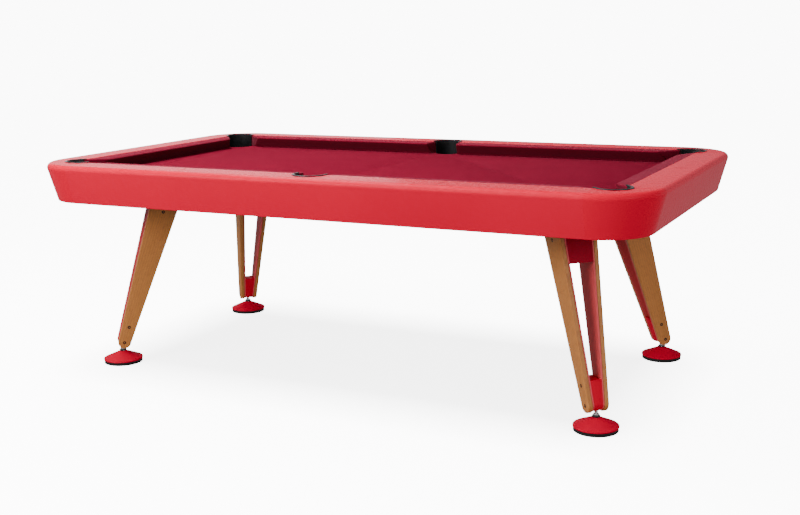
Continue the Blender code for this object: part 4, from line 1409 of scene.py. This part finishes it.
# %% Floor and room light
def pale_floor(glow):
    """A white floor that curves up far away, as a paper sweep does: z = 0.02 (r - 12)^2 beyond 12 m.

    It glows evenly but for a painted shadow, a soft pool of weaker glow under the table, and it lights nothing
    but itself.
    """
    finish = Finish("pale_floor", {"Roughness": 0.75, "Specular IOR Level": 0.2, "Emission Strength": glow})
    spot = finish.place()
    cloud = finish.noise(spot, 0.6, 3.0)
    across = finish.node("ShaderNodeSeparateXYZ", {}, {"Vector": spot}, output=0).math("ABSOLUTE")
    away = finish.node("ShaderNodeSeparateXYZ", {}, {"Vector": spot}, output=1).math("ABSOLUTE")
    # Painted shadow: the glow drops to 0.48 in a soft box under the table.
    under = finish.ramp(0.5 * across, [(0.0, 1.0), (0.44, 1.0), (0.61, 0.0)])
    under = under * finish.ramp(away, [(0.0, 1.0), (0.38, 1.0), (0.72, 0.0)])
    light = finish.mix(under, (1.0, 1.0, 1.0), (0.48, 0.48, 0.48))
    finish.tree.links.new(light.socket, finish.shader.inputs["Emission Color"])
    finish.connect(colour=finish.mix(cloud, (0.86, 0.86, 0.865), (0.90, 0.90, 0.90)))
    reach = np.linspace(-42, 42, 85)
    x, y = np.meshgrid(reach, reach, indexing="ij")
    rise = 0.02 * np.maximum(np.hypot(x, y) - 12, 0) ** 2
    floor = surface("studio_floor", np.stack([x, y, rise], axis=-1))
    floor.data.materials.append(finish.material)
    if floor.data.polygons[0].normal.z < 0:
        floor.data.flip_normals()
    floor.visible_diffuse = False
    floor.visible_glossy = False
    floor.visible_shadow = False


def room_light(below, above):
    """White light from all round, of one strength from below and another from above."""
    world = bpy.data.worlds.new("room")
    bpy.context.scene.world = world
    world.use_nodes = True
    tree = world.node_tree
    direction = tree.nodes.new("ShaderNodeTexCoord")
    parts = tree.nodes.new("ShaderNodeSeparateXYZ")
    tree.links.new(direction.outputs["Generated"], parts.inputs[0])
    up = Signal(tree, parts.outputs["Z"]).math("GREATER_THAN", 0.0)
    strength = below + (above - below) * up
    background = tree.nodes["Background"]
    background.inputs["Color"].default_value = (1.0, 1.0, 1.0, 1.0)
    tree.links.new(strength.socket, background.inputs["Strength"])


def panel_light(name, spot, target, size, power):
    """A rectangular soft light at the spot, facing the target."""
    light = bpy.data.lights.new(name, "AREA")
    light.shape = "RECTANGLE"
    light.size, light.size_y = size
    light.energy = power
    holder = bpy.data.objects.new(name, light)
    bpy.context.scene.collection.objects.link(holder)
    holder.location = spot
    holder.rotation_euler = (Vector(target) - Vector(spot)).to_track_quat("-Z", "Y").to_euler()


pale_floor(10.0)
room_light(below=0.40, above=0.42)
panel_light("overhead_panel", (-1.2, -0.5, 3.4), (-0.2, -0.1, 0.7), (4.6, 1.1), 215)
panel_light("front_left_panel", (-2.2, -4.8, 2.4), (0, 0, 0.6), (3.2, 2.2), 315)
panel_light("back_left_panel", (-5.0, 4.8, 1.9), (0, 0, 0.8), (5.0, 1.8), 32)
panel_light("right_panel", (4.6, -1.8, 1.5), (1.0, 0, 0.6), (2.4, 1.6), 62)
panel_light("back_right_panel", (5.0, 3.6, 1.3), (0.6, 0, 0.6), (3.0, 2.0), 16)


# %% Camera
def place_camera(spot, yaw, pitch, roll, focal):
    """A camera turned by yaw to the left of +Y, tipped down by pitch and rolled about its line of sight."""
    camera = bpy.data.cameras.new("camera")
    camera.lens = focal
    camera.sensor_width = 36.0
    camera.sensor_fit = "HORIZONTAL"
    camera.clip_end = 200.0
    holder = bpy.data.objects.new("camera", camera)
    bpy.context.scene.collection.objects.link(holder)
    look = Matrix.Rotation(yaw, 4, "Z") @ Matrix.Rotation(math.pi / 2 - pitch, 4, "X")
    holder.matrix_world = Matrix.Translation(spot) @ look @ Matrix.Rotation(roll, 4, "Z")
    bpy.context.scene.camera = holder


place_camera(
    spot=(1.9251, -3.7791, 1.2751),
    yaw=math.radians(26.418),
    pitch=math.radians(11.61),
    roll=math.radians(-0.893),
    focal=50.91,
)
